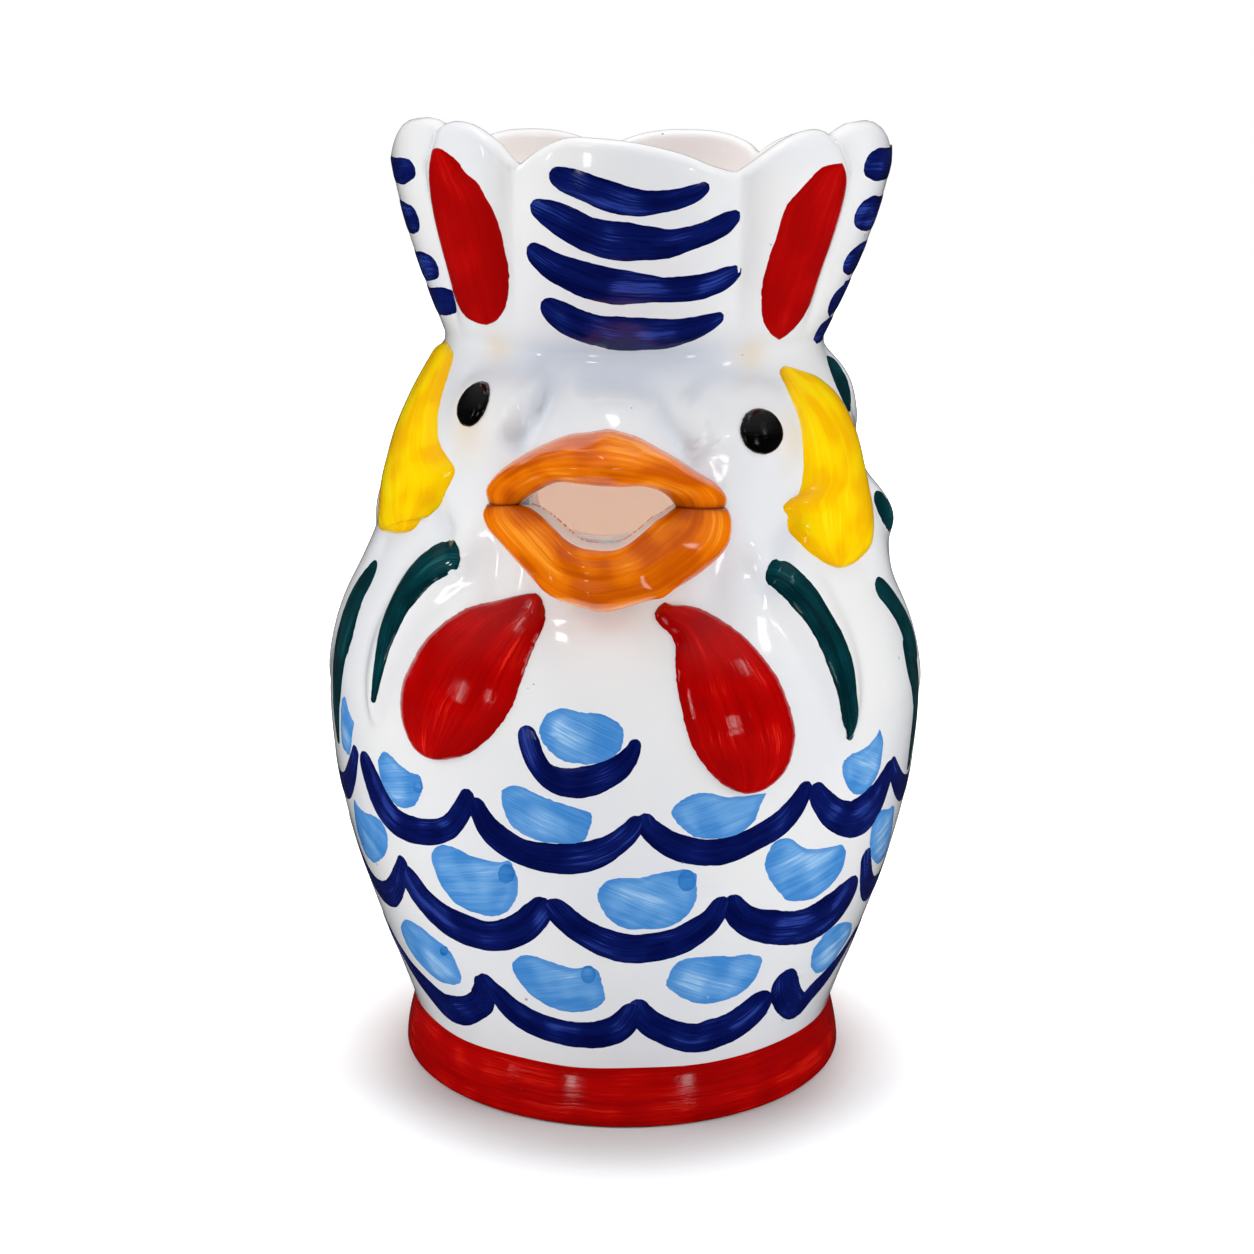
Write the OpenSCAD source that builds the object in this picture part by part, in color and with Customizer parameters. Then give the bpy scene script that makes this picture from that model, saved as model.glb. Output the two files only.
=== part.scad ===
// Chicken pitcher in glazed earthenware. It is poured through the open beak and filled through the crest.
// The origin is the centre of the foot, where it stands. +Z is up, the beak points along -Y and the
// handle stands out along +Y. A direction round the body is an angle from the beak, towards +X.

/* [Body] */
// Height of the tallest tips of the crest
height = 250; // [236:1:270]
// Diameter of the foot where it stands
foot_d = 120; // [112:1:130]
// Diameter of the foot band at its waist
foot_waist_d = 117.2; // [114:0.2:124]
// Height of the foot band
foot_h = 15.5; // [10:0.5:22]
// Thickness of the foot band where it stands
foot_band_t = 5; // [4:0.5:6]
// Diameter of the belly at its widest
belly_d = 157.6; // [146:0.2:170]
// Height at which the belly is widest, as a share of the height
belly_share = 0.408; // [0.37:0.002:0.44]
// Height at which the head is joined to the belly, as a share of the height
joint_share = 0.512; // [0.488:0.002:0.536]
// Height of the neck crease, between the head and the crest, as a share of the height
neck_share = 0.78; // [0.756:0.002:0.808]
// Diameter of the neck crease
neck_d = 97; // [88:1:106]
// Thickness of the clay wall
wall = 5; // [3.5:0.5:6.5]
// Thickness of the floor
floor_t = 7; // [5:0.5:10]
// Diameter of the flat part of the inside floor
floor_flat_d = 50; // [36:1:64]
// Height at which the rounded inside of the floor runs into the wall, as a share of the height
bowl_share = 0.176; // [0.144:0.002:0.216]

/* [Crest] */
// Outer diameter of the crest at its rim
rim_d = 126.6; // [112:0.2:140]
// Drop from the tallest tips to the valleys between the petals
valley_drop = 10.5; // [5:0.5:16]
// Drop from the tallest tips to the tip of the front petal
front_drop = 3.2; // [0:0.2:5]
// Drop from the tallest tips to the tips of the two narrow petals beside it
narrow_drop = 1.4; // [0:0.2:5]
// Drop from the tallest tips to the tips of the petals at the back
back_drop = 4; // [0:0.2:5]
// Depth of the creases between the petals at the rim
crease_depth = 3; // [0:0.5:5]
// Sideways lean of the rim, which grows from the joint of the head up
rim_lean = 3.3; // [0:0.1:6]
// Height over which the lip is rounded
lip_round = 2.4; // [1:0.2:3.6]

/* [Beak] */
// Height of the mouth line, as a share of the height
mouth_share = 0.654; // [0.632:0.002:0.672]
// Width of the beak from corner to corner
beak_w = 57; // [50:1:62]
// Rise of the upper beak above the mouth line
beak_rise = 17; // [14:0.5:20]
// Drop of the lower beak below the mouth line
beak_drop = 24; // [18:0.5:27]
// Reach of the upper beak in front of the head
upper_reach = 17; // [10:0.5:24]
// Reach of the lower beak in front of the head
lower_reach = 15; // [9:0.5:22]
// Reach of the beak at its corners
corner_reach = 3; // [2:0.5:5]
// Width of the pouring opening
opening_w = 37; // [28:1:42]
// Rise of the pouring opening above the mouth line
opening_rise = 7; // [4:0.5:9]
// Drop of the pouring opening below the mouth line
opening_drop = 8.5; // [5:0.5:11]
// Fullness of the head round the root of the beak
beak_root_swell = 4; // [1:0.5:6]
// Fullness of the brow between the eyes
brow_swell = 3.5; // [0:0.5:6]

/* [Eyes] */
// Height of the eyes, as a share of the height
eye_share = 0.722; // [0.704:0.002:0.736]
// How far the left eye stands above that height and the right eye below it, as set by hand
eye_skew = 2.4; // [0:0.1:4]
// Direction of each eye, in degrees from the beak
eye_turn = 35.7; // [32:0.1:40]
// Diameter of each eye
eye_d = 11; // [7:0.5:14]
// Height of the rounded eye above the glaze
eye_rise = 1.8; // [1:0.1:3]
// Radius of the mound that carries each eye
mound_r = 10.5; // [8:0.5:14]
// Height of the mound that carries each eye
mound_rise = 4.5; // [2:0.5:7]

/* [Raised features] */
// Height of the yellow cheeks above the head
cheek_rise = 5; // [2:0.5:7]
// Greatest width of a cheek
cheek_w = 30; // [20:1:34]
// Height of the red wattles above the breast
wattle_rise = 4.5; // [2:0.5:7]
// Greatest width of a wattle
wattle_w = 28; // [18:1:32]
// Height of the feathers above the wings
feather_rise = 3; // [1.5:0.1:5]
// Greatest width of a long feather
feather_w = 17; // [10:1:20]
// Greatest width of a short feather at the wing's shoulder or behind the cheek
short_feather_w = 14; // [9:1:17]
// Fullness of the shoulder of each wing
wing_swell = 5.5; // [2:0.5:8]
// Height of the shoulder of each wing, as a share of the height
wing_share = 0.588; // [0.568:0.002:0.608]
// Fullness behind each cheek, over the ears
ear_swell = 3.5; // [1:0.5:6]
// Height of the fullness behind each cheek, as a share of the height
ear_share = 0.72; // [0.704:0.002:0.736]
// Thickness of a raised feature at its edge
feature_edge = 0.6; // [0.4:0.1:1]

/* [Handle] */
// Width of the handle
handle_w = 25; // [18:1:32]
// Thickness of the handle
handle_t = 12; // [9:0.5:16]
// Distance from the axis to the middle of the handle at its farthest
handle_out = 109; // [98:1:122]
// Height of the handle's upper root, as a share of the height
handle_top_share = 0.732; // [0.704:0.002:0.74]
// Height of the handle's lower root, as a share of the height
handle_foot_share = 0.376; // [0.32:0.002:0.416]

/* [Hidden] */
// Heights that follow the height of the pitcher
belly_z = height * belly_share;
joint_z = height * joint_share;
neck_z = height * neck_share;
bowl_rise = height * bowl_share;
mouth_z = height * mouth_share;
eye_z = height * eye_share;
wing_z = height * wing_share;
ear_z = height * ear_share;
handle_top_z = height * handle_top_share;
handle_foot_z = height * handle_foot_share;
// Gap left at a luted seat, and at the fit of the belly in the foot band
seat_gap = 0.3;
foot_gap = 0.1;
// Softening at the bottom edge of the foot
foot_soften = 1.2;
left = -1;
right = 1;

// Steps round the body, and rows of the head below and above the mouth line
turn_steps = 80;
turn_step = 360 / turn_steps;
low_rows = 9;
high_rows = 8;
crest_rows = 8;
// Cells of the head's grid that the pouring opening takes, each way from its centre
window_columns = 4;
window_rows = 2;
$fn = 96;

// The body's outline from the belly up to the neck: share of the height, share of the narrowing
shoulder_shares = [[0, 0], [0.087, 0.019], [0.196, 0.094], [0.283, 0.192], [0.413, 0.387], [0.522, 0.505],
                   [0.63, 0.575], [0.739, 0.654], [0.848, 0.78], [0.935, 0.906], [1, 1]];
belly_power_share = 1.08;
// The foot band's outline: how far its lower curve stands in, and the heights of its curve and its waist
foot_curve_share = 0.45;
foot_low_share = 0.35;
foot_waist_share = 0.72;
// The crest: how round its flare is, how full its petals and their tips are, how sharp its creases are,
// and how far the lip's edge is drawn in from each side of the wall
flare_curve_share = 0.5;
petal_power_share = 2.4;
tip_power_share = 0.8;
crease_power_share = 1.5;
lip_tuck_share = 0.3;
// Step along a centre line over which its direction is taken
small_share = 0.01;
// Directions of the middle of the wings' shoulders and of the ears, in degrees from the beak
wing_turn = 93;
ear_turn = 86;

// The petals of the crest: first edge, last edge, drop of the tip, and where across it the tip stands
petals = [[-25, 25, front_drop, 0.42],
          [25, 56, narrow_drop, 0.5],
          [56, 117, 0, 0.5],
          [117, 149, back_drop, 0.5],
          [149, 193, back_drop, 0.5],
          [193, 235, back_drop, 0.5],
          [235, 304, 0, 0.5],
          [304, 335, narrow_drop, 0.5]];

// Centre lines of the raised features on the right: angle from the beak, height as a share from the
// belly's widest to the neck, and half width as a share of the feature's greatest width
cheek_shares = [[51, 0.52, 0.2], [53, 0.6, 0.43], [53.5, 0.7, 0.5], [54.5, 0.82, 0.36], [53, 0.92, 0.25],
                [51, 0.975, 0.15]];
wattle_shares = [[27.5, -0.05, 0.3], [28, 0.07, 0.5], [25.5, 0.2, 0.48], [20, 0.32, 0.34],
                 [13, 0.41, 0.16]];
front_feather_shares = [[47.5, 0.02, 0.2], [47.5, 0.16, 0.4], [45.5, 0.3, 0.5], [41, 0.42, 0.5],
                        [32, 0.5, 0.4]];
wing_feather_shares = [[83, 0.02, 0.2], [84, 0.14, 0.4], [82, 0.27, 0.5], [76, 0.39, 0.5],
                       [68, 0.47, 0.4]];
back_feather_shares = [[108, 0.04, 0.2], [110, 0.16, 0.4], [109, 0.28, 0.5], [105, 0.4, 0.5],
                       [98, 0.48, 0.4]];
shoulder_feather_shares = [[97, 0.53, 0.35], [93, 0.57, 0.5], [87, 0.6, 0.5], [81, 0.63, 0.35]];
ear_feather_shares = [[92, 0.76, 0.35], [90, 0.82, 0.5], [86, 0.88, 0.5], [81, 0.94, 0.35]];
feature_steps = 14;
feature_columns = 6;

// Centre line of the handle from its lower root: which root it is nearer, share of the way out from that
// root, and share of the height from the lower root to the upper
handle_shares = [[0, 0, 0], [0, 0.43, 0.07], [0, 0.8, 0.23], [0, 1, 0.5], [1, 0.985, 0.78],
                 [1, 0.83, 1], [1, 0.56, 1.11], [1, 0.26, 1.09], [1, 0, 1]];
handle_root_share = 1.25;
handle_steps = 26;
handle_sides = 16;

// Value between a and b at a share of the way, and a share made smooth at both ends
function mix(a, b, share) = a + (b - a) * share;
function smooth(share) = let (s = max(0, min(1, share))) s * s * (3 - 2 * s);

// Smooth curve through evenly numbered points, at a share of the way from first to last
function through(points, share) =
    let (last = len(points) - 1,
         k = min(floor(share * last), last - 1),
         t = share * last - k,
         p0 = points[max(k - 1, 0)], p1 = points[k], p2 = points[k + 1], p3 = points[min(k + 2, last)])
    p1 + (p2 - p0) * (t / 2) + (2 * p0 - 5 * p1 + 4 * p2 - p3) * (t * t / 2)
       + (3 * p1 - p0 - 3 * p2 + p3) * (t * t * t / 2);

// Share of the narrowing at a share of the height, along the table of the shoulder
function shoulder(share, k = 0) =
    k >= len(shoulder_shares) - 2 || share <= shoulder_shares[k + 1][0]
        ? let (last = len(shoulder_shares) - 1,
               a = shoulder_shares[k], b = shoulder_shares[k + 1],
               before = shoulder_shares[max(k - 1, 0)], after = shoulder_shares[min(k + 2, last)],
               span = b[0] - a[0], t = (share - a[0]) / span,
               slope_a = (b[1] - before[1]) / (b[0] - before[0]),
               slope_b = (after[1] - a[1]) / (after[0] - a[0]))
          a[1] * (2 * t * t * t - 3 * t * t + 1) + b[1] * (3 * t * t - 2 * t * t * t)
              + slope_a * span * (t * t * t - 2 * t * t + t) + slope_b * span * (t * t * t - t * t)
        : shoulder(share, k + 1);

// Outer radius of the body at a height, from the foot band up to the neck, without its swellings
function body_r(z) =
    z < belly_z
        ? mix(foot_waist_d / 2, belly_d / 2,
              pow(sin(90 * (z - foot_h) / (belly_z - foot_h)), belly_power_share))
        : mix(belly_d / 2, neck_d / 2, shoulder((z - belly_z) / (neck_z - belly_z)));

// Height of the eye on one side
function eye_z_on(side) = eye_z - side * eye_skew;

// Rounded swelling of the head about a place, with its reach to each side and its height
function swelling(turn, z, at_turn, at_z, reach_x, reach_z, rise) =
    let (x = (turn - at_turn) * PI / 180 * neck_d / 2 / reach_x, y = (z - at_z) / reach_z)
    rise * exp(-x * x - y * y);

// Outer radius of the body in a direction at a height, with the swellings of the head
function skin_r(turn, z) =
    let (wing_reach = 2 * mound_r,
         fade = smooth((neck_z - z) / mound_r) * smooth((z - joint_z) / mound_r))
    body_r(z) + fade * (
        swelling(abs(turn), z, eye_turn, eye_z_on(sign(turn)), mound_r, mound_r, mound_rise)
        + swelling(abs(turn), z, wing_turn, wing_z, wing_reach, mound_r, wing_swell)
        + swelling(abs(turn), z, ear_turn, ear_z, mound_r, mound_r, ear_swell)
        + swelling(turn, z, 0, neck_z - beak_rise / 2, beak_w / 4, beak_rise, brow_swell)
        + swelling(turn, z, 0, mouth_z, beak_w / 2, beak_drop, beak_root_swell));

// Point at a direction, a radius and a height, on the axis that leans towards the rim
function lean(z) = rim_lean * smooth((z - joint_z) / (height - joint_z));
function place(turn, r, z) = [lean(z) + r * sin(turn), -r * cos(turn), z];
// Point on the skin, and one that stands proud of it
function on_skin(turn, z, proud = 0) = place(turn, skin_r(turn, z) + proud, z);

// Closed solid between an outer and an inner sheet of points, each a list of columns from left to right
// as seen from outside. A ring closes on itself, and hole gives the first and last column and row of the
// cells that are left open
module sheet(outer, inner, ring = false, hole = [0, -1, 0, -1]) {
    columns = len(outer) - (ring ? 0 : 1);
    rows = len(outer[0]) - 1;
    count = len(outer) * (rows + 1);
    function out(i, j) = (i % len(outer)) * (rows + 1) + j;
    function in(i, j) = count + out(i, j);
    function wrap(i) = ring ? (i + columns) % columns : i;
    function open_cell(i, j) = i < 0 || i >= columns || j < 0 || j >= rows
        || (i >= hole[0] && i <= hole[1] && j >= hole[2] && j <= hole[3]);
    faces = [for (i = [0:columns - 1], j = [0:rows - 1]) if (!open_cell(i, j)) each concat(
        [[out(i, j), out(i, j + 1), out(i + 1, j + 1)], [out(i, j), out(i + 1, j + 1), out(i + 1, j)],
         [in(i, j), in(i + 1, j + 1), in(i, j + 1)], [in(i, j), in(i + 1, j), in(i + 1, j + 1)]],
        !open_cell(wrap(i - 1), j) ? []
            : [[out(i, j), in(i, j), in(i, j + 1)], [out(i, j), in(i, j + 1), out(i, j + 1)]],
        !open_cell(wrap(i + 1), j) ? []
            : [[out(i + 1, j), out(i + 1, j + 1), in(i + 1, j + 1)],
               [out(i + 1, j), in(i + 1, j + 1), in(i + 1, j)]],
        !open_cell(i, j - 1) ? []
            : [[out(i, j), out(i + 1, j), in(i + 1, j)], [out(i, j), in(i + 1, j), in(i, j)]],
        !open_cell(i, j + 1) ? []
            : [[out(i + 1, j + 1), out(i, j + 1), in(i, j + 1)],
               [out(i + 1, j + 1), in(i, j + 1), in(i + 1, j + 1)]])];
    polyhedron(points = concat([for (column = outer) each column], [for (column = inner) each column]),
               faces = faces);
}

module foot_band() {
    foot_r = foot_d / 2;
    waist_r = foot_waist_d / 2;
    color("firebrick")
    rotate_extrude()
    polygon([[foot_r - foot_band_t, 0], [foot_r - foot_soften, 0], [foot_r, foot_soften],
             [mix(waist_r, foot_r, foot_curve_share), foot_h * foot_low_share],
             [waist_r, foot_h * foot_waist_share], [waist_r, foot_h],
             [foot_r - foot_band_t, foot_h]]);
}

// The belly from the ground to the joint with the head, with the floor in one piece with it
module belly_shell() {
    plug_r = foot_d / 2 - foot_band_t - foot_gap;
    outer_steps = 22;
    floor_steps = 7;
    bowl_x = body_r(bowl_rise) - wall - floor_flat_d / 2;
    outline = [for (k = [0:outer_steps]) let (z = mix(foot_h, joint_z, k / outer_steps)) [body_r(z), z]];
    inside = [for (k = [outer_steps:-1:0]) let (z = mix(bowl_rise, joint_z, k / outer_steps))
                  [body_r(z) - wall, z]];
    bowl = [for (k = [1:floor_steps]) let (turn = 90 * k / floor_steps,
                z = bowl_rise - (bowl_rise - floor_t) * sin(turn),
                x = floor_flat_d / 2 + bowl_x * cos(turn))
                [z > foot_h ? min(x, body_r(z) - wall) : x, z]];
    color("ivory")
    rotate_extrude()
    polygon(concat([[0, 0], [plug_r, 0], [plug_r, foot_h]], outline, inside, bowl, [[0, floor_t]]));
}

// Height of a row of the head, which has a row at the mouth line
function head_row_z(j) = j <= low_rows ? mix(joint_z, mouth_z, j / low_rows)
                                       : mix(mouth_z, neck_z, (j - low_rows) / high_rows);

// Draws the grid of the head in round the pouring opening, so that its edge becomes an oval
function round_opening(turn, z) =
    let (far_share = 3.2, fade_share = 2.2,
         window_turn = window_columns * turn_step,
         row_z = z > mouth_z ? (neck_z - mouth_z) / high_rows : (mouth_z - joint_z) / low_rows,
         half_z = z > mouth_z ? opening_rise : opening_drop,
         x = turn / window_turn, y = (z - mouth_z) / (window_rows * row_z),
         reach = max(abs(x), abs(y)),
         draw_in = reach == 0 ? 1 : reach / norm([x, y]),
         share = smooth((far_share - reach) / fade_share))
    [mix(turn, x * draw_in * opening_turn(), share), mix(z, mouth_z + y * draw_in * half_z, share)];
// Direction of the corners of the pouring opening and of the beak, on the head's surface
function opening_turn() = asin(opening_w / 2 / skin_r(0, mouth_z));
function beak_turn() = asin(beak_w / 2 / skin_r(0, mouth_z));

module head_shell() {
    function head_point(i, j, inset) =
        let (at = round_opening((i - turn_steps / 2) * turn_step, head_row_z(j)))
        place(at[0], skin_r(at[0], at[1]) - inset, at[1]);
    function head_sheet(inset) =
        [for (i = [0:turn_steps - 1]) [for (j = [0:low_rows + high_rows]) head_point(i, j, inset)]];
    middle = turn_steps / 2;
    color("white")
    sheet(head_sheet(0), head_sheet(wall), ring = true,
          hole = [middle - window_columns, middle + window_columns - 1,
                  low_rows - window_rows, low_rows + window_rows - 1]);
}

// One petal of the crest. All petals stand on the neck, and neighbours share their edges
module crest_petal(k) {
    edge_a = petals[k][0];
    edge_b = petals[k][1];
    steps = round((edge_b - edge_a) / turn_step);
    function across(i) = i / steps;
    // Share of the way from the edges to the middle, where the tip stands
    function fullness(i) = let (s = across(i), tip = petals[k][3],
        way = s < tip ? s / tip : (1 - s) / (1 - tip)) 1 - pow(1 - way, petal_power_share);
    function top_z(i) = height - mix(valley_drop, petals[k][2], pow(fullness(i), tip_power_share));
    function flare(share) = mix(share, sin(90 * share), flare_curve_share);
    function crest_r(i, share) = mix(neck_d / 2, rim_d / 2, flare(min(1, share)))
        - crease_depth * smooth(share * 2) * pow(1 - fullness(i), crease_power_share);
    // Rows up the wall, then one at the top of the rounded lip, drawn in by a part of the wall
    function petal_point(i, j, inset, tuck) =
        let (turn = mix(edge_a, edge_b, across(i)),
             on_lip = j > crest_rows,
             z = on_lip ? top_z(i) : mix(neck_z, top_z(i) - lip_round, j / crest_rows),
             share = (z - neck_z) / (height - valley_drop - neck_z))
        place(turn, crest_r(i, share) - (on_lip ? tuck : inset), z);
    function petal_sheet(inset, tuck) =
        [for (i = [0:steps]) [for (j = [0:crest_rows + 1]) petal_point(i, j, inset, tuck)]];
    sheet(petal_sheet(0, wall * lip_tuck_share), petal_sheet(wall, wall * (1 - lip_tuck_share)));
}

module crest_front() { color("white") crest_petal(0); }
module crest_narrow_right() { color("mistyrose") crest_petal(1); }
module crest_side_right() { color("whitesmoke") crest_petal(2); }
module crest_back_right() { color("mistyrose") crest_petal(3); }
module crest_rear_right() { color("white") crest_petal(4); }
module crest_rear_left() { color("whitesmoke") crest_petal(5); }
module crest_side_left() { color("white") crest_petal(6); }
module crest_narrow_left() { color("mistyrose") crest_petal(7); }

// One half of the beak: a thick rounded lip round half of the opening, luted to the head. It runs from the
// corner on its left to the corner on its right, as seen from in front, and from its lower edge up
module beak_half(rise, opening, reach, up) {
    opening_power_share = 0.8;
    outline_power_share = 1.5;
    reach_power_share = 1.1;
    steps = 16;
    lip_steps = 8;
    crown_share = 0.38;
    root_lip_share = 0.72;
    lip_curve_share = 2.6;
    lip_end_share = 0.62;
    // Height of the lip above the head from the opening, 0, to the outline, 1
    function lip(share) = share < crown_share
        ? mix(root_lip_share, 1, sqrt(1 - pow(1 - share / crown_share, 2)))
        : pow(1 - pow((share - crown_share) / (1 - crown_share), lip_curve_share), lip_end_share);
    function beak_point(i, j, proud) =
        let (turn = 180 - 180 * i / steps,
             share = up > 0 ? j / lip_steps : 1 - j / lip_steps,
             spread = mix(opening_turn(), beak_turn(), share),
             power = mix(opening_power_share, outline_power_share, share),
             z = mouth_z + up * mix(opening, rise, share) * pow(sin(turn), power),
             out = mix(corner_reach, reach, pow(sin(turn), reach_power_share)))
        on_skin(spread * cos(turn), z, seat_gap + (proud ? max(feature_edge, out * lip(share)) : 0));
    function beak_sheet(proud) =
        [for (i = [0:steps]) [for (j = [0:lip_steps]) beak_point(i, j, proud)]];
    sheet(beak_sheet(true), beak_sheet(false));
}

module beak_upper() { color("darkorange") beak_half(beak_rise, opening_rise, upper_reach, 1); }
module beak_lower() { color("orange") beak_half(beak_drop, opening_drop, lower_reach, -1); }

// A raised feature that hugs the skin along a centre line, on one side of the body
module raised(shares, width, rise, side) {
    dome_power_share = 0.7;
    end_power_share = 4;
    function at(share) = through(shares, share);
    function height_of(share) = mix(belly_z, neck_z, share);
    // Round at both ends, and domed across
    function ends(share) = sqrt(max(0, 1 - pow(abs(2 * share - 1), end_power_share)));
    function feature_point(i, j, proud) =
        let (share = (1 - cos(180 * j / feature_steps)) / 2,
             here = at(share), a = at(max(0, share - small_share)), b = at(min(1, share + small_share)),
             z = height_of(here[1]), degree = PI / 180 * skin_r(side * here[0], z),
             along = [side * (b[0] - a[0]) * degree, height_of(b[1]) - height_of(a[1])],
             unit = along / norm(along),
             v = 2 * i / feature_columns - 1,
             off = v * max(feature_edge, here[2] * width * ends(share)))
        on_skin(side * here[0] + off * unit[1] / degree, z - off * unit[0],
                seat_gap + (proud ? mix(feature_edge, rise, pow(1 - v * v, dome_power_share) * ends(share))
                                  : 0));
    function feature_sheet(proud) =
        [for (i = [0:feature_columns]) [for (j = [0:feature_steps]) feature_point(i, j, proud)]];
    sheet(feature_sheet(true), feature_sheet(false));
}

module cheek(side) { color("gold") raised(cheek_shares, cheek_w, cheek_rise, side); }
module wattle(side) { color("crimson") raised(wattle_shares, wattle_w, wattle_rise, side); }
module long_feather(shares, side) { color("darkslategray") raised(shares, feather_w, feather_rise, side); }
module short_feather(shares, side) { color("teal") raised(shares, short_feather_w, feather_rise, side); }

// A rounded eye of thick black glaze on its mound
module eye(side) {
    rings = 4;
    sides = 20;
    middle_z = eye_z_on(side);
    degree = PI / 180 * skin_r(side * eye_turn, middle_z);
    function eye_point(k, n, proud) =
        let (r = eye_d / 2 * k / rings, turn = -360 * n / sides)
        on_skin(side * eye_turn + r * cos(turn) / degree, middle_z + r * sin(turn),
                seat_gap + (proud ? mix(feature_edge, eye_rise, sqrt(1 - pow(k / rings, 2))) : 0));
    function eye_sheet(proud) =
        [for (n = [0:sides - 1]) [for (k = [rings:-1:1]) eye_point(k, n, proud)]];
    crown = on_skin(side * eye_turn, middle_z, seat_gap + eye_rise);
    back = on_skin(side * eye_turn, middle_z, seat_gap);
    front_points = [for (column = eye_sheet(true)) each column];
    back_points = [for (column = eye_sheet(false)) each column];
    count = sides * rings;
    function at(n, k) = (n % sides) * rings + k;
    color("black")
    polyhedron(points = concat(front_points, back_points, [crown, back]),
        faces = [for (n = [0:sides - 1]) each concat(
            [for (k = [0:rings - 2]) each [
                [at(n, k), at(n + 1, k + 1), at(n, k + 1)],
                [at(n, k), at(n + 1, k), at(n + 1, k + 1)],
                [count + at(n, k), count + at(n, k + 1), count + at(n + 1, k + 1)],
                [count + at(n, k), count + at(n + 1, k + 1), count + at(n + 1, k)]]],
            [[at(n, rings - 1), at(n + 1, rings - 1), 2 * count],
             [count + at(n, rings - 1), 2 * count + 1, count + at(n + 1, rings - 1)],
             [at(n, 0), count + at(n, 0), count + at(n + 1, 0)],
             [at(n, 0), count + at(n + 1, 0), at(n + 1, 0)]])]);
}

// A strap handle with rounded edges, luted to the back of the head and of the belly
module handle() {
    root_y = [skin_r(180, handle_foot_z), skin_r(180, handle_top_z)];
    path = [for (row = handle_shares) [mix(root_y[row[0]], handle_out, row[1]),
                                       mix(handle_foot_z, handle_top_z, row[2])]];
    root_length_share = 0.25;
    cap_share = 0.5;
    function section(k, size) =
        let (share = k / handle_steps,
             here = through(path, share),
             along = through(path, min(1, share + small_share))
                   - through(path, max(0, share - small_share)),
             unit = along / norm(along),
             flare = mix(handle_root_share, 1, smooth(min(share, 1 - share) / root_length_share))
                   * size)
        [for (n = [0:handle_sides - 1])
            let (turn = 360 * n / handle_sides,
                 x = handle_w / 2 * flare * cos(turn), t = handle_t / 2 * flare * sin(turn))
            [x, here[0] - t * unit[1], here[1] + t * unit[0]]];
    // The same section laid on the skin of the body
    function seated(k, size) = [for (p = section(k, size))
        let (r = skin_r(180, p[2]) + seat_gap, x = p[0] - lean(p[2])) [p[0], sqrt(r * r - x * x), p[2]]];
    rings = concat([seated(0, cap_share), seated(0, 1)],
                   [for (k = [1:handle_steps - 1]) section(k, 1)],
                   [seated(handle_steps, 1), seated(handle_steps, cap_share)]);
    last = len(rings) - 1;
    count = len(rings) * handle_sides;
    ends = [[0, root_y[0] + seat_gap, handle_foot_z], [0, root_y[1] + seat_gap, handle_top_z]];
    function at(k, n) = k * handle_sides + n % handle_sides;
    color("white")
    polyhedron(points = concat([for (ring = rings) each ring], ends),
        faces = [for (n = [0:handle_sides - 1]) each concat(
            [for (k = [0:last - 1]) each [[at(k, n), at(k, n + 1), at(k + 1, n + 1)],
                                          [at(k, n), at(k + 1, n + 1), at(k + 1, n)]]],
            [[at(0, n + 1), at(0, n), count], [at(last, n), at(last, n + 1), count + 1]])]);
}

foot_band();
belly_shell();
head_shell();
crest_front();
crest_narrow_right();
crest_side_right();
crest_back_right();
crest_rear_right();
crest_rear_left();
crest_side_left();
crest_narrow_left();
beak_upper();
beak_lower();
eye(left);  // eye_left
eye(right);  // eye_right
cheek(left);  // cheek_left
cheek(right);  // cheek_right
wattle(left);  // wattle_left
wattle(right);  // wattle_right
long_feather(front_feather_shares, left);  // feather_front_left
long_feather(front_feather_shares, right);  // feather_front_right
long_feather(wing_feather_shares, left);  // feather_wing_left
long_feather(wing_feather_shares, right);  // feather_wing_right
long_feather(back_feather_shares, left);  // feather_back_left
long_feather(back_feather_shares, right);  // feather_back_right
short_feather(shoulder_feather_shares, left);  // feather_shoulder_left
short_feather(shoulder_feather_shares, right);  // feather_shoulder_right
short_feather(ear_feather_shares, left);  // feather_ear_left
short_feather(ear_feather_shares, right);  // feather_ear_right
handle();
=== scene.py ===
"""A glazed hen pitcher: the clay body, its beak, eyes, cheeks, wattles, feathers, handle and painted glaze.

Sizes are in millimetres and angles in degrees until a mesh is made. A turn is a direction round the body,
0 at the beak and growing towards +X. The meshes themselves are in metres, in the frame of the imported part.
"""

import logging
import math
from dataclasses import dataclass, field
from enum import Enum
from typing import Sequence

import bpy
import numpy as np
from mathutils import Matrix, Vector
from mathutils.bvhtree import BVHTree
from mathutils.kdtree import KDTree


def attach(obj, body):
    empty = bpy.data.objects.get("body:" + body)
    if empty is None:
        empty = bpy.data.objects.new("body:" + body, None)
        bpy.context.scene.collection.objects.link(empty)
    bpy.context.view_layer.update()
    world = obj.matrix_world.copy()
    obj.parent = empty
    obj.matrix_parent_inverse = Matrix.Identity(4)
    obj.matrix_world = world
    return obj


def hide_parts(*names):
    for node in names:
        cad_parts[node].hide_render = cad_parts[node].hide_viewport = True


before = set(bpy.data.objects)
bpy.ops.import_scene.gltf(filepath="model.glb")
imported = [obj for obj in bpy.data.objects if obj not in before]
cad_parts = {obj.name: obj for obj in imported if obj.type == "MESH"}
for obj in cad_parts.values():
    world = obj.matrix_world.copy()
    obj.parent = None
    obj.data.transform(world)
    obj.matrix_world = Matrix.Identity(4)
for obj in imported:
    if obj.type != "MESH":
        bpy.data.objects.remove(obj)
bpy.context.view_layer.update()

MM = 0.001
DEGREE = math.pi / 180
Place = tuple[float, float]
Mark = tuple[float, float, float]
Row = tuple[float, ...]
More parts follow.
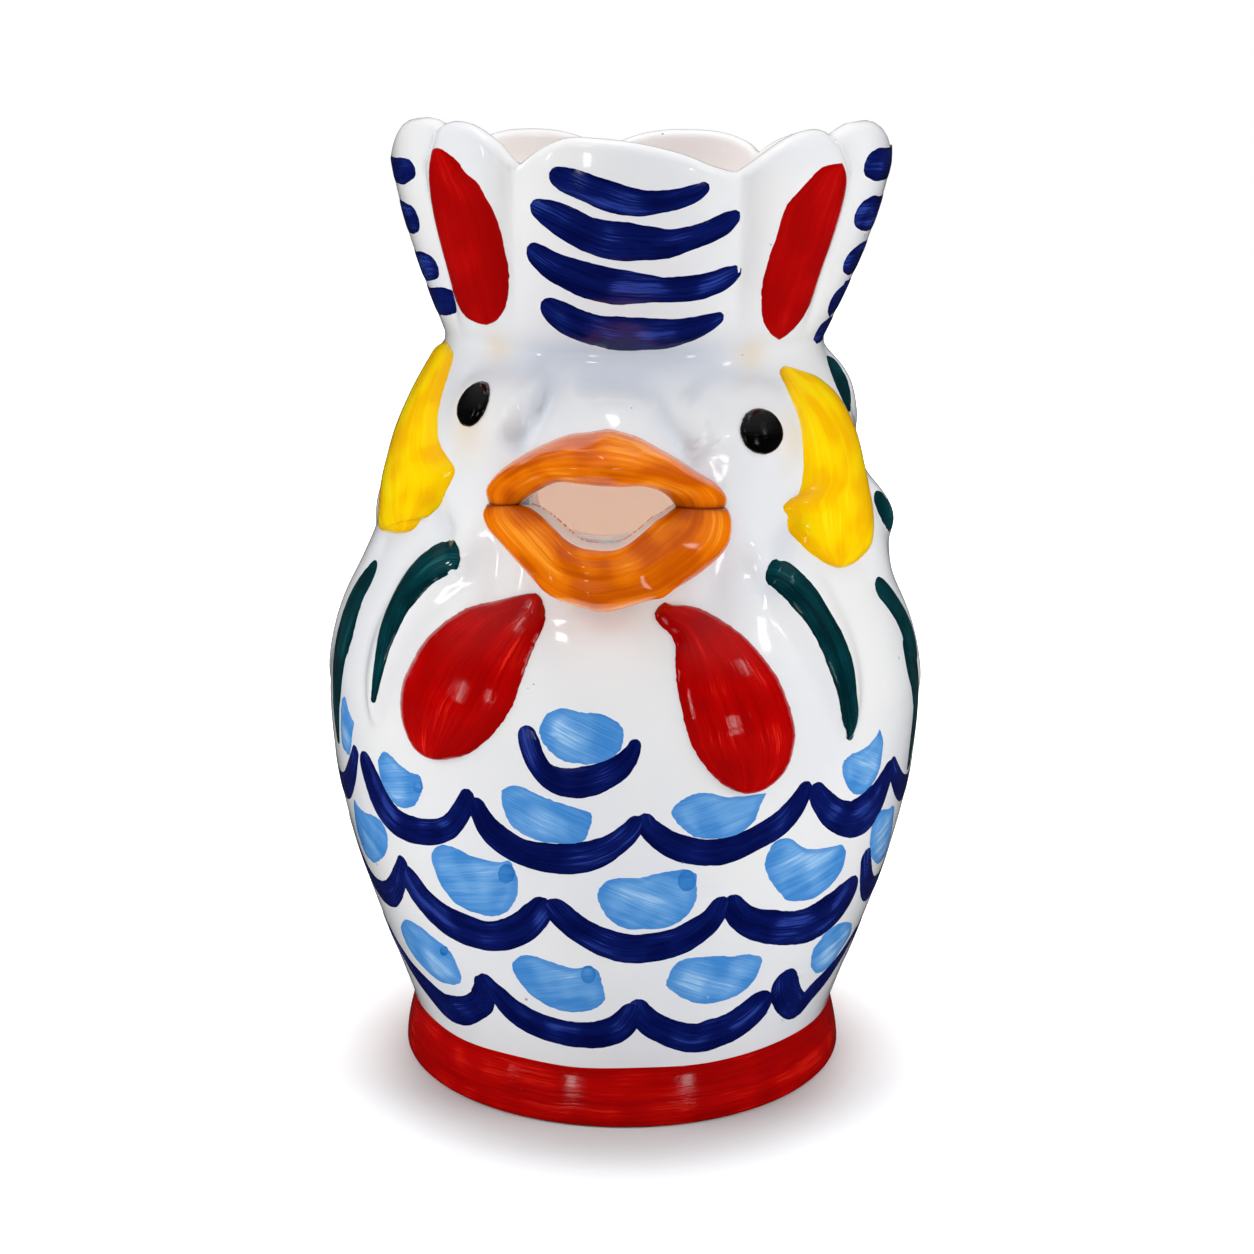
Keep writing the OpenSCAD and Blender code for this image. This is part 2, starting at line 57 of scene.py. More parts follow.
Array = np.ndarray
Piece = bpy.types.Object
Socket = bpy.types.NodeSocket
Colour = tuple[int, int, int]

LOG = logging.getLogger("pitcher")


class Side(Enum):
    """The viewer's left and right."""

    LEFT = -1
    RIGHT = 1

    @property
    def word(self) -> str:
        """Returns the word that node names use."""
        return "left" if self is Side.LEFT else "right"


def smooth(share: Array) -> Array:
    """Returns a share made smooth at both ends."""
    s = np.clip(share, 0.0, 1.0)
    return s * s * (3 - 2 * s)


def mix(a: Array, b: Array, share: Array) -> Array:
    """Returns the value between a and b at a share of the way."""
    return a + (b - a) * share


def curve_through(points: Array, shares: Array, closed: bool = False) -> Array:
    """Draws a smooth curve through evenly numbered points.

    Args:
        points: One row per point.
        shares: Shares of the way from the first point to the last, or right round.
        closed: Whether the curve comes back to its first point.

    Returns:
        One row per share.
    """
    count = len(points)
    spans = count if closed else count - 1
    at = np.clip(shares, 0.0, 1.0) * spans
    k = np.minimum(np.floor(at).astype(int), spans - 1)
    t = (at - k)[:, None]

    def pick(index: Array) -> Array:
        """Returns the points at indices, wrapped or held at the ends."""
        return points[index % count] if closed else points[np.clip(index, 0, count - 1)]

    p0, p1, p2, p3 = pick(k - 1), pick(k), pick(k + 1), pick(k + 2)
    return (p1 + (p2 - p0) * t / 2 + (2 * p0 - 5 * p1 + 4 * p2 - p3) * t ** 2 / 2
            + (3 * p1 - p0 - 3 * p2 + p3) * t ** 3 / 2)


def run_of(steps: Array) -> Array:
    """Returns the distance run at the start and after each step."""
    return np.concatenate([[0], np.cumsum(steps)])


def there_and_back(places: Array) -> tuple[Array, Array]:
    """Returns places across a pad's top and back beneath it, and which of them are on top."""
    return np.concatenate([places, places[::-1][1:]]), np.arange(2 * len(places) - 1) < len(places)


def unit(ways: Array) -> Array:
    """Returns directions with a length of 1."""
    return ways / np.linalg.norm(ways, axis=-1, keepdims=True)


def along_curve(points: Array, shares: Array) -> Array:
    """Returns places at shares of the length of a smooth curve through points."""
    line = curve_through(np.asarray(points, float), np.linspace(0, 1, 400))
    length = run_of(np.hypot(*np.diff(line, axis=0).T))
    at = shares * length[-1]
    return np.stack([np.interp(at, length, line[:, 0]), np.interp(at, length, line[:, 1])], axis=1)


def calmed(edge: Array, ends: Array, furthest: float = 78.0) -> Array:
    """Smooths an edge that was read near the photograph's outline, where places are uncertain.

    Args:
        edge: Its turns and heights.
        ends: The edge that it meets at both ends.
        furthest: The turn past which it is drawn in.

    Returns:
        The smoothed edge.
    """
    share = np.linspace(0, 1, len(edge))
    calm = np.stack([np.polyval(np.polyfit(share, column, 3), share) for column in edge.T], axis=1)
    past = np.clip(np.abs(calm[:, 0]) - furthest, 0, None)
    calm[:, 0] -= np.sign(calm[:, 0]) * past * 0.55
    fade = smooth(np.minimum(share, 1 - share) * 6)[:, None]
    calm = mix(edge, calm, fade)
    calm[0], calm[-1] = ends[0], ends[-1]
    return calm


def wobble(shares: Array, seed: int, waves: int = 9, roughness: float = 0.6) -> Array:
    """Draws the unevenness of a hand-painted edge, the same each run.

    Args:
        shares: Shares of the way along or round the edge.
        seed: Chooses the edge.
        waves: Number of waves of the finest unevenness.
        roughness: How much the fine waves keep of the coarse ones.

    Returns:
        Values about 0, mostly within 1.
    """
    chance = np.random.default_rng(seed)
    total = np.zeros_like(shares)
    for n in range(1, waves + 1):
        size = chance.uniform(0.4, 1.0) * n ** -roughness
        total += size * np.sin(2 * math.pi * n * shares + chance.uniform(0, 2 * math.pi))
    return total / 2.2


def linear(red: int, green: int, blue: int) -> tuple[float, float, float, float]:
    """Returns a screen colour, 0 to 255, as the linear colour that a shader takes."""
    def channel(value: int) -> float:
        """Returns one channel."""
        v = value / 255
        return v / 12.92 if v <= 0.04045 else ((v + 0.055) / 1.055) ** 2.4
    return (channel(red), channel(green), channel(blue), 1.0)


# --- the form of the pitcher


@dataclass(frozen=True)
class Ridge:
    """A raised feature of the clay along a centre line: turn, height share and half-width share."""

    name: str
    line: tuple[Mark, ...]
    width: float
    rise: float


FEATHERS = (
    Ridge("front", ((47.5, 0.02, 0.2), (47.5, 0.16, 0.4), (45.5, 0.3, 0.5), (41, 0.42, 0.5),
                    (32, 0.5, 0.4)), 17, 2.6),
    Ridge("wing", ((83, 0.02, 0.2), (84, 0.14, 0.4), (82, 0.27, 0.5), (76, 0.39, 0.5),
                   (68, 0.47, 0.4)), 17, 0.9),
    Ridge("back", ((108, 0.04, 0.2), (110, 0.16, 0.4), (109, 0.28, 0.5), (105, 0.4, 0.5),
                   (98, 0.48, 0.4)), 17, 1.2),
    Ridge("shoulder", ((100, 0.46, 0.35), (96, 0.5, 0.5), (90, 0.54, 0.5), (84, 0.58, 0.35)), 14, 2.4),
    Ridge("ear", ((100, 0.76, 0.35), (97, 0.82, 0.5), (92, 0.88, 0.5), (86, 0.94, 0.35)), 14, 2.2),
)


@dataclass
class HenForm:
    """The shape that every piece follows: the body from the foot up to the petals of the crest."""

    height: float = 250.0
    foot_r: float = 60.0
    waist_r: float = 57.4
    foot_h: float = 14.2
    foot_band_t: float = 5.0
    belly_r: float = 78.8
    belly_z: float = 102.0
    joint_z: float = 128.0
    neck_z: float = 195.0
    neck_r: float = 48.5
    rim_r: float = 63.3
    wall: float = 5.0
    floor_t: float = 7.0
    floor_flat_r: float = 25.0
    bowl_rise: float = 44.0
    valley_drop: float = 10.5
    crease_depth: float = 3.0
    rim_lean: float = 3.3
    lip_round: float = 2.4
    mouth_z: float = 163.5
    beak_w: float = 57.0
    beak_rise: float = 17.0
    beak_drop: float = 24.0
    opening_w: float = 37.0
    opening_rise: float = 7.0
    opening_drop: float = 8.5
    eye_z: float = 180.5
    eye_skew: float = 2.4
    eye_turn: float = 35.7
    mound_r: float = 10.5
    shoulder_table: tuple[Place, ...] = (
        (0, 0), (0.087, 0.019), (0.196, 0.094), (0.283, 0.192), (0.413, 0.387), (0.522, 0.505),
        (0.63, 0.575), (0.739, 0.654), (0.848, 0.78), (0.935, 0.906), (1, 1))
    petals: tuple[tuple[float, float, float], ...] = (
        (-26, 26, 3.2), (26, 60.5, 1.4), (60.5, 117, 0), (117, 149, 4),
        (149, 193, 4), (193, 235, 4), (235, 303, 0), (303, 334, 1.4))
    front_rims: dict[int, tuple[float, ...]] = field(default_factory=lambda: {
        0: (10.3, 6.5, 3.9, 3.9, 4.5, 5.7, 7.5, 10.0, 11.4),
        1: (11.4, 8.1, 5.0, 2.9, 1.9, 2.2, 4.3, 2.2, 0.4),
        2: (0.4, 0.0, 1.6, 4.6, 7.4, 8.5, 8.5, 9.0, 10.5),
        6: (10.5, 9.0, 8.5, 8.5, 8.5, 8.0, 5.0, 1.0, 0.0),
        7: (0.0, 0.6, 2.6, 1.1, 0.6, 1.1, 2.8, 5.6, 10.3)})
    front_spread: float = 0.27
    fold_curl: float = 5.0
    folds: tuple[tuple[float, float, float, float, float], ...] = (
        (-1, 176.5, 15, 8, 6.0), (-31, 190, 8, 3, 1.2), (31, 188, 8, 3, 1.2),
        (-19, 174, 2.4, 5, -0.8), (21, 170, 2.6, 5, -0.8),
        (-42, 166, 6, 6, -1.0), (40, 161, 6, 7, -1.0), (-33, 150, 4, 8, 1.3), (31, 148, 4, 8, 1.3),
        (0, 136, 16, 5, -1.2), (-24, 142, 3, 9, -1.0), (22, 141, 3, 9, -1.0))
    creases: tuple[tuple[tuple[Place, ...], float, float], ...] = (
        (((-8, 190.6), (-2.9, 190.6), (5.2, 189.4), (9.4, 186.5), (11.3, 181.5), (17, 172.5)), 1.9, -2.2),
        (((-21.6, 191.5), (-18.2, 188.6), (-18.6, 183.3), (-22.4, 176)), 2.4, -2.8),
        (((-27.5, 178), (-26, 185), (-24.3, 187.4), (-22.2, 186), (-20.2, 180)), 1.2, 1.3),
        (((18.6, 177), (18.9, 184), (20.4, 186), (22.4, 180), (23, 176)), 1.2, 1.3),
        (((17.5, 186.8), (20.5, 189), (24.7, 190.4), (36.3, 190.8), (46, 189)), 1.7, -1.8),
        (((-27, 190.5), (-37.6, 191.5), (-47, 189.5)), 1.7, -1.5),
        (((-46, 158), (-40, 152), (-35, 144)), 2.4, -1.5), (((44, 154), (38, 149), (34, 141)), 2.4, -1.5))
    ridge_steps: int = 41
    ridges: list[Array] = field(default_factory=list)

    def __post_init__(self) -> None:
        """Lays out the raised features on both sides."""
        shares = np.linspace(0, 1, self.ridge_steps)
        ends = np.sqrt(np.clip(1 - np.abs(2 * shares - 1) ** 4, 0.04, 1))
        for ridge in FEATHERS:
            turn, share, half = curve_through(np.array(ridge.line, float), shares).T
            z = self.ridge_z(share)
            for side in Side:
                self.ridges.append(np.stack([side.value * turn, z, half * ridge.width * ends,
                                             ridge.rise * ends, self.body_r(z)], axis=1))

    def ridge_z(self, share: Array) -> Array:
        """Returns the height at a share of the way from the belly's widest to the neck."""
        return mix(self.belly_z, self.neck_z, share)

    def shoulder(self, share: Array) -> Array:
        """Returns the share of the narrowing at a share of the way up the shoulder.

        Args:
            share: Shares of the way from the belly's widest to the neck.

        Returns:
            The share of the narrowing at each.
        """
        x, y = np.array(self.shoulder_table).T
        k = np.clip(np.searchsorted(x, share) - 1, 0, len(x) - 2)
        before, after = np.maximum(k - 1, 0), np.minimum(k + 2, len(x) - 1)
        span = x[k + 1] - x[k]
        t = (share - x[k]) / span
        slope_a = (y[k + 1] - y[before]) / (x[k + 1] - x[before])
        slope_b = (y[after] - y[k]) / (x[after] - x[k])
        return (y[k] * (2 * t ** 3 - 3 * t ** 2 + 1) + y[k + 1] * (3 * t ** 2 - 2 * t ** 3)
                + slope_a * span * (t ** 3 - 2 * t ** 2 + t) + slope_b * span * (t ** 3 - t ** 2))

    def body_r(self, z: Array) -> Array:
        """Returns the body's outer radius at a height up to the neck, without its swellings.

        Args:
            z: Heights.

        Returns:
            The radius at each height.
        """
        low = np.clip((z - self.foot_h) / (self.belly_z - self.foot_h), 0, 1)
        high = np.clip((z - self.belly_z) / (self.neck_z - self.belly_z), 0, 1)
        return np.where(z < self.belly_z,
                        mix(self.waist_r, self.belly_r, np.sin(low * math.pi / 2) ** 1.08),
                        mix(self.belly_r, self.neck_r, self.shoulder(high)))

    def swelling(self, turn: Array, z: Array, place: Place, reach: Place,
                 rise: float) -> Array:
        """Returns the height of a rounded swelling with its middle at a place of the head."""
        x = (turn - place[0]) * DEGREE * self.neck_r / reach[0]
        y = (z - place[1]) / reach[1]
        return rise * np.exp(-x * x - y * y)

    def skin_r(self, turn: Array, z: Array) -> Array:
        """Returns the outer radius of the body with the swellings of the head.

        Args:
            turn: Directions.
            z: Heights.

        Returns:
            The radius at each direction and height.
        """
        m = self.mound_r
        eye_z = self.eye_z - np.sign(turn) * self.eye_skew
        fade = smooth((self.neck_z - z) / m) * smooth((z - self.joint_z) / m)
        return self.body_r(z) + fade * (
            self.swelling(np.abs(turn), z, (self.eye_turn, eye_z), (m, m), 4.5)
            + self.swelling(turn, z, (92, 148), (2 * m, m), 4.2)
            + self.swelling(turn, z, (-93, 147), (2 * m, m), 1.0)
            + self.swelling(turn, z, (88, 184), (m, m), 1.0)
            + self.swelling(turn, z, (0, self.neck_z - self.beak_rise / 2),
                            (self.beak_w / 4, self.beak_rise), 3.5)
            + self.swelling(turn, z, (0, self.mouth_z), (self.beak_w / 2, self.beak_drop), 4)
            + sum(self.swelling(turn, z, fold[:2], fold[2:4], fold[4]) for fold in self.folds)
            + sum(self.crease(turn, z, *crease) for crease in self.creases))

    def crease(self, turn: Array, z: Array, line: Sequence[Place], width: float,
               rise: float) -> Array:
        """Returns the height of a narrow crease or fold of the head.

        Args:
            turn: Directions.
            z: Heights.
            line: Its middle line.
            width: Its reach to each side.
            rise: Its height, below 0 for a crease.

        Returns:
            Its height at each direction and height.
        """
        scale = DEGREE * self.neck_r
        best = np.full(np.shape(turn), 1e9)
        for (a_turn, a_z), (b_turn, b_z) in zip(line, line[1:]):
            x, y = (turn - a_turn) * scale, z - a_z
            dx, dy = (b_turn - a_turn) * scale, b_z - a_z
            share = np.clip((x * dx + y * dy) / (dx * dx + dy * dy), 0, 1)
            best = np.minimum(best, (x - share * dx) ** 2 + (y - share * dy) ** 2)
        return rise * np.exp(-best / width ** 2)

    def relief(self, turn: Array, z: Array) -> Array:
        """Returns how far the feathers stand proud of the skin.

        Args:
            turn: Directions.
            z: Heights.

        Returns:
            Their height at each direction and height.
        """
        height = np.zeros(turn.shape)
        for ridge in self.ridges:
            reach = ridge[:, 2].max() * 1.3
            degrees = reach / (DEGREE * ridge[:, 4].min())
            near = ((turn > ridge[:, 0].min() - degrees) & (turn < ridge[:, 0].max() + degrees)
                    & (z > ridge[:, 1].min() - reach) & (z < ridge[:, 1].max() + reach))
            if not near.any():
                continue
            t, h = turn[near], z[near]
            best = np.zeros(t.shape)
            for at_turn, at_z, half, rise, r in ridge:
                v2 = (((t - at_turn) * DEGREE * r) ** 2 + (h - at_z) ** 2) / (half * 1.25) ** 2
                best = np.maximum(best, rise * np.clip(1 - v2, 0, 1) ** 1.6)
            height[near] = np.maximum(height[near], best)
        return height

    def fullness(self, turn: Array) -> tuple[Array, Array]:
        """Returns how full the petal is in each direction, and how far its lip is dropped.

        Args:
            turn: Directions.

        Returns:
            The petal's fullness in each direction, and the drop of its lip.
        """
        at = (turn + 26) % 360 - 26
        full, drop = np.zeros(turn.shape), np.zeros(turn.shape)
        for index, (edge_a, edge_b, tip_drop) in enumerate(self.petals):
            here = (at >= edge_a) & (at < edge_b)
            share = (at[here] - edge_a) / (edge_b - edge_a)
            full[here] = 1 - np.abs(1 - 2 * share) ** 2.4
            drop[here] = mix(self.valley_drop, tip_drop, full[here] ** 0.8)
            if index in self.front_rims:
                rim = curve_through(np.array(self.front_rims[index])[:, None], share)[:, 0]
                drop[here] = np.maximum(rim, 0)
        return full, drop

    def crest_r(self, turn: Array, z: Array) -> Array:
        """Returns the outer radius of the crest, whose front petal widens towards the neck.

        Args:
            turn: Directions.
            z: Heights.

        Returns:
            The radius at each direction and height.
        """
        share = np.clip((z - self.neck_z) / (self.height - self.valley_drop - self.neck_z), 0, 1)
        out = np.abs(turn)
        spread = 1 + self.front_spread * smooth((58 - out) / 25) * (1 - share)
        curl = self.fold_curl * smooth((z - 237) / 9) * smooth((out - 40) / 10) * smooth((84 - out) / 16)
        full, _ = self.fullness(turn / spread + np.sign(turn) * curl)
        flare = mix(share, np.sin(share * math.pi / 2), 0.5)
        return (mix(self.neck_r, self.rim_r, flare)
                - self.crease_depth * smooth(share * 2) * (1 - full) ** 1.5)

    def sharp_r(self, turn: Array, z: Array, relief: bool = True) -> Array:
        """Returns the outer radius with a sharp neck crease.

        Args:
            turn: Directions.
            z: Heights.
            relief: Whether the feathers stand proud.

        Returns:
            The radius at each direction and height.
        """
        low = np.minimum(z, self.neck_z)
        head = self.skin_r(turn, low)
        if relief:
            head = head + self.relief(turn, low)
        return np.where(z <= self.neck_z, head, self.crest_r(turn, np.maximum(z, self.neck_z)))

    def outer_r(self, turn: Array, z: Array, relief: bool = True) -> Array:
        """Returns the outer radius, with the neck crease rounded as glazed clay is.

        Args:
            turn: Directions.
            z: Heights.
            relief: Whether the feathers stand proud.

        Returns:
            The radius at each direction and height.
        """
        turn, z = np.broadcast_arrays(np.asarray(turn, float), np.asarray(z, float))
        r = self.sharp_r(turn, z, relief)
        near = np.abs(z - self.neck_z) < 3
        if near.any():
            spread = 2.2 * (1 - np.abs(z[near] - self.neck_z) / 3)
            total = np.zeros(spread.shape)
            for step, weight in ((-1, 1), (-0.5, 2), (0, 2), (0.5, 2), (1, 1)):
                total += weight * self.sharp_r(turn[near], z[near] + step * spread, relief)
            r = r.copy()
            r[near] = total / 8
        return r

    def degree(self, turn: Array, z: Array) -> Array:
        """Returns the width of a degree of turn on the skin."""
        return DEGREE * self.outer_r(turn, z, relief=False)

    def lean(self, z: Array) -> Array:
        """Returns how far the axis has leant sideways at a height."""
        return self.rim_lean * smooth((z - self.joint_z) / (self.height - self.joint_z))

    def place(self, turn: Array, r: Array, z: Array) -> Array:
        """Returns points, in metres, at directions, radii and heights."""
        angle = np.asarray(turn) * DEGREE
        x, y, z = np.broadcast_arrays(self.lean(z) + r * np.sin(angle), -r * np.cos(angle), z)
        return np.stack([x, y, z], axis=-1) * MM

    def lifted(self, turn: Array, z: Array, proud: Array) -> Array:
        """Returns points that stand proud of the outer surface, along its normal.

        Args:
            turn: Directions.
            z: Heights.
            proud: How far each point stands proud.

        Returns:
            The points, in metres.
        """
        step = 0.35
        here = self.place(turn, self.outer_r(turn, z), z)
        across = (self.place(turn + step, self.outer_r(turn + step, z), z)
                  - self.place(turn - step, self.outer_r(turn - step, z), z))
        up = (self.place(turn, self.outer_r(turn, z + step), z + step)
              - self.place(turn, self.outer_r(turn, z - step), z - step))
        return here + unit(np.cross(across, up)) * (np.asarray(proud) * MM)[..., None]

    def skin_tree(self, relief: bool = True) -> BVHTree:
        """Returns the outer skin, without the pouring opening, for finding places on it.

        Args:
            relief: Whether the feathers stand proud.

        Returns:
            The skin's faces, ready for casting rays on.
        """
        turns, heights = np.meshgrid(np.arange(-125, 126, 1.25), np.arange(0, 250, 1.25))
        points = self.place(turns, self.outer_r(turns, heights, relief), heights)
        rows, columns = turns.shape
        first = (np.arange(rows - 1)[:, None] * columns + np.arange(columns - 1)[None, :]).ravel()
        faces = np.stack([first, first + 1, first + columns + 1, first + columns], axis=1)
        return BVHTree.FromPolygons(points.reshape(-1, 3).tolist(), faces.tolist())

    def spot(self, point: Vector) -> Place:
        """Returns the turn and height of a point on the body."""
        z = point.z / MM
        x = point.x / MM - float(self.lean(z))
        return math.degrees(math.atan2(x, -point.y / MM)), z


# --- the photograph's camera


@dataclass(frozen=True)
class PhotoCamera:
    """The camera of the photograph, and the way from its pixels to the body."""

    picture: float = 1254.0
    focal_px: float = 2166.06
    sensor: float = 36.0
    distance: float = 564.18
    height: float = 257.59
    side: float = 0.543
    pitch: float = 14.02
    roll: float = 0.41
    turn: float = 3.6
    widest: float = 0.85

    def axes(self) -> tuple[Vector, Vector, Vector, Vector]:
        """Returns the camera's place and its right, up and forward directions."""
        pitch, roll = self.pitch * DEGREE, self.roll * DEGREE
        spin = Matrix.Rotation(self.turn * DEGREE, 3, "Z")
        right, up = Vector((1, 0, 0)), Vector((0, math.sin(pitch), math.cos(pitch)))
        forward = Vector((0, math.cos(pitch), -math.sin(pitch)))
        rolled_right = right * math.cos(roll) + up * math.sin(roll)
        rolled_up = up * math.cos(roll) - right * math.sin(roll)
        place = Vector((self.side, -self.distance, self.height)) * MM
        return spin @ place, spin @ rolled_right, spin @ rolled_up, spin @ forward

    def add(self) -> Piece:
        """Adds the camera and makes it the scene's."""
        place, right, up, forward = self.axes()
        data = bpy.data.cameras.new("photo_camera")
        data.sensor_width = self.sensor
        data.lens = self.focal_px * self.sensor / self.picture
        data.clip_start = 0.01
        data.clip_end = 50
        camera = bpy.data.objects.new("photo_camera", data)
        bpy.context.scene.collection.objects.link(camera)
        turned = Matrix((right, up, -forward)).transposed().to_4x4()
        camera.matrix_world = Matrix.Translation(place) @ turned
        bpy.context.scene.camera = camera
        return camera

    def pixel(self, point: Array) -> Array:
        """Returns where a point shows in the photograph."""
        place, right, up, forward = map(np.array, self.axes())
        off = point - place
        across = np.stack([off @ right, -(off @ up)], axis=-1)
        return self.picture / 2 + self.focal_px * across / (off @ forward)[..., None]


# --- mesh making


@dataclass
class Sheet:
    """Points on a grid, with the values that the finishes read."""

    points: Array
    brush: Array | None = None
    values: dict[str, Array | float] = field(default_factory=dict)


def everything(action: str) -> None:
    """Selects or deselects all of the mesh that is being edited."""
    bpy.ops.mesh.select_all(action=action)


def laid_grid(name: str, sheet: Sheet, angle: float = 180.0) -> Piece:
    """Adds a grid, lays it on the sheet's points and merges what meets into a closed form.

    Args:
        name: Name of the piece.
        sheet: The points, rows by columns, and the values that go with them.
        angle: Angle past which an edge stays sharp.

    Returns:
        The new object.
    """
    rows, columns = sheet.points.shape[:2]
    bpy.ops.object.select_all(action="DESELECT")
    bpy.ops.mesh.primitive_grid_add(x_subdivisions=columns - 1, y_subdivisions=rows - 1, size=0.1)
    piece = bpy.context.object
    piece.name = piece.data.name = name
    mesh = piece.data
    mesh.vertices.foreach_set("co", np.ascontiguousarray(sheet.points, dtype=np.float32).ravel())
    if sheet.brush is not None:
        corner = np.empty(len(mesh.loops), dtype=np.int32)
        mesh.loops.foreach_get("vertex_index", corner)
        layer = mesh.uv_layers[0]
        layer.name = "brush"
        flat = sheet.brush.reshape(-1, 2)[corner]
        layer.data.foreach_set("uv", np.ascontiguousarray(flat, dtype=np.float32).ravel())
    for key, value in sheet.values.items():
        store = mesh.attributes.new(key, "FLOAT", "POINT")
        store.data.foreach_set("value", np.broadcast_to(np.float32(value), (rows, columns)).ravel())
    bpy.ops.object.mode_set(mode="EDIT")
    everything("SELECT")
    bpy.ops.mesh.remove_doubles(threshold=2e-6)
    bpy.ops.mesh.normals_make_consistent(inside=False)
    everything("DESELECT")
    bpy.ops.object.mode_set(mode="OBJECT")
    bpy.ops.object.shade_smooth_by_angle(angle=angle * DEGREE)
    return piece


def joined(name: str, pieces: Sequence[Piece]) -> Piece:
    """Joins strokes of one kind into a single piece.

    Args:
        name: The piece's name.
        pieces: The strokes.

    Returns:
        The joined piece.
    """
    bpy.ops.object.select_all(action="DESELECT")
    for piece in pieces:
        piece.select_set(True)
    bpy.context.view_layer.objects.active = pieces[0]
    bpy.ops.object.join()
    piece = bpy.context.object
    piece.name = piece.data.name = name
    return piece


@dataclass
class Stroke:
    """One brush stroke of thick glaze: a centre line on the body with its half widths."""

    spots: Array
    half_widths: Sequence[float]
    seed: int
    rise: float = 0.2
    sink: float = 0.35
    ragged: float = 0.05
    steps: int = 56
    columns: int = 12

    def sheet(self, form: HenForm) -> Sheet:
        """Lays the stroke on the body.

        Args:
            form: The shape of the body.

        Returns:
            A closed cross-section in each row, with one point at each end.
        """
        fine = np.linspace(0, 1, 240)
        line = curve_through(self.spots, fine)
        scale = form.degree(*line.T)
        length = run_of(np.hypot(np.diff(line[:, 0]) * scale[1:], np.diff(line[:, 1])))
        total = length[-1]
        even = (1 - np.cos(np.linspace(0, math.pi, self.steps))) / 2
        along = mix(even, np.linspace(0, 1, self.steps), 0.55) * total
        step = total / 200

        def at(where: Array) -> Array:
            """Returns the turns and heights at distances along the centre line."""
            return np.stack([np.interp(where, length, column) for column in line.T], axis=1)

        (turn, z), r = at(along).T, np.interp(along, length, scale)
        way = unit((at(np.clip(along + step, 0, total)) - at(np.clip(along - step, 0, total)))
                   * np.stack([r, np.ones_like(r)], axis=1))
        widths = curve_through(np.array(self.half_widths, float)[:, None], along / total)[:, 0]
        for end, distance in ((0, along), (-1, total - along)):
            cap = max(0.4, self.half_widths[end])
            widths = widths * np.sqrt(np.clip(1 - (1 - np.minimum(distance / cap, 1)) ** 2, 0, 1))
        across = np.linspace(-1, 1, self.columns + 1)
        around, top = there_and_back(np.sign(across) * np.abs(across) ** 0.8)
        edges = [(1 + self.ragged * wobble(along / total, seed, 26, 0.5))[:, None]
                 for seed in (self.seed, self.seed + 1)]
        off = around * widths[:, None] * np.where(around < 0, *edges)
        full, out = np.clip(widths / max(self.half_widths), 0, 1)[:, None], np.abs(around)
        proud = np.where(top, self.rise * (1 - out ** 5) * full ** 0.5, -self.sink * (1 - out ** 8))
        proud[:, out > 0.999] = 0.0
        at_turn, at_z = turn[:, None] + off * way[:, 1:] / r[:, None], z[:, None] - off * way[:, :1]
        points = form.lifted(at_turn, at_z, proud)
        brush = np.stack(np.broadcast_arrays(along[:, None], off), axis=-1) / 10
        return Sheet(points, brush, {"rim": np.maximum(out, 1 - full), "tone": self.seed * 0.37 % 1})


@dataclass
class Patch:
    """An area of glaze with a hand-painted outline on the body."""

    outline: Array
    seed: int
    brush_angle: float = 0.0
    rise: float = 0.22
    dome: float = 0.0
    sink: float = 0.35
    ragged: float = 0.14
    sides: int = 96
    spacing: float = 1.2

    def sheet(self, form: HenForm) -> Sheet:
        """Lays the patch on the body, in rings about its middle.

        Args:
            form: The shape of the body.

        Returns:
            Rings from the middle of its face out to the edge and back under to the middle.
        """
        shares = np.linspace(0, 1, self.sides + 1)
        edge = curve_through(self.outline, shares, closed=True)
        middle = (self.outline.max(axis=0) + self.outline.min(axis=0)) / 2
        scale = float(form.degree(*middle))
        reach = (edge - middle) * [scale, 1]
        radius = np.linalg.norm(reach, axis=1)
        radius = radius + self.ragged * wobble(shares, self.seed, 40, 0.35)
        reach = unit(reach) * radius[:, None]
        rings = max(8, round(float(radius.max()) / self.spacing))
        out = np.sin(np.linspace(0, math.pi / 2, rings + 1)) ** 0.9
        back = np.array([0.75, 0.4, 0.0])
        rho = np.concatenate([out, back])
        local = rho[:, None, None] * reach[None]
        turn, z = middle[0] + local[..., 0] / scale, middle[1] + local[..., 1]
        top = self.rise * (1 - out ** 7) + self.dome * np.sqrt(np.clip(1 - out ** 2, 0, 1))
        proud = np.concatenate([top, np.full(len(back), -self.sink)])
        points = form.lifted(turn, z, proud[:, None])
        angle = self.brush_angle * DEGREE
        u = local[..., 0] * math.cos(angle) + local[..., 1] * math.sin(angle)
        w = -local[..., 0] * math.sin(angle) + local[..., 1] * math.cos(angle)
        return Sheet(points, np.stack([u, w], axis=-1) / 10,
                     {"rim": rho[:, None], "tone": self.seed * 0.37 % 1})


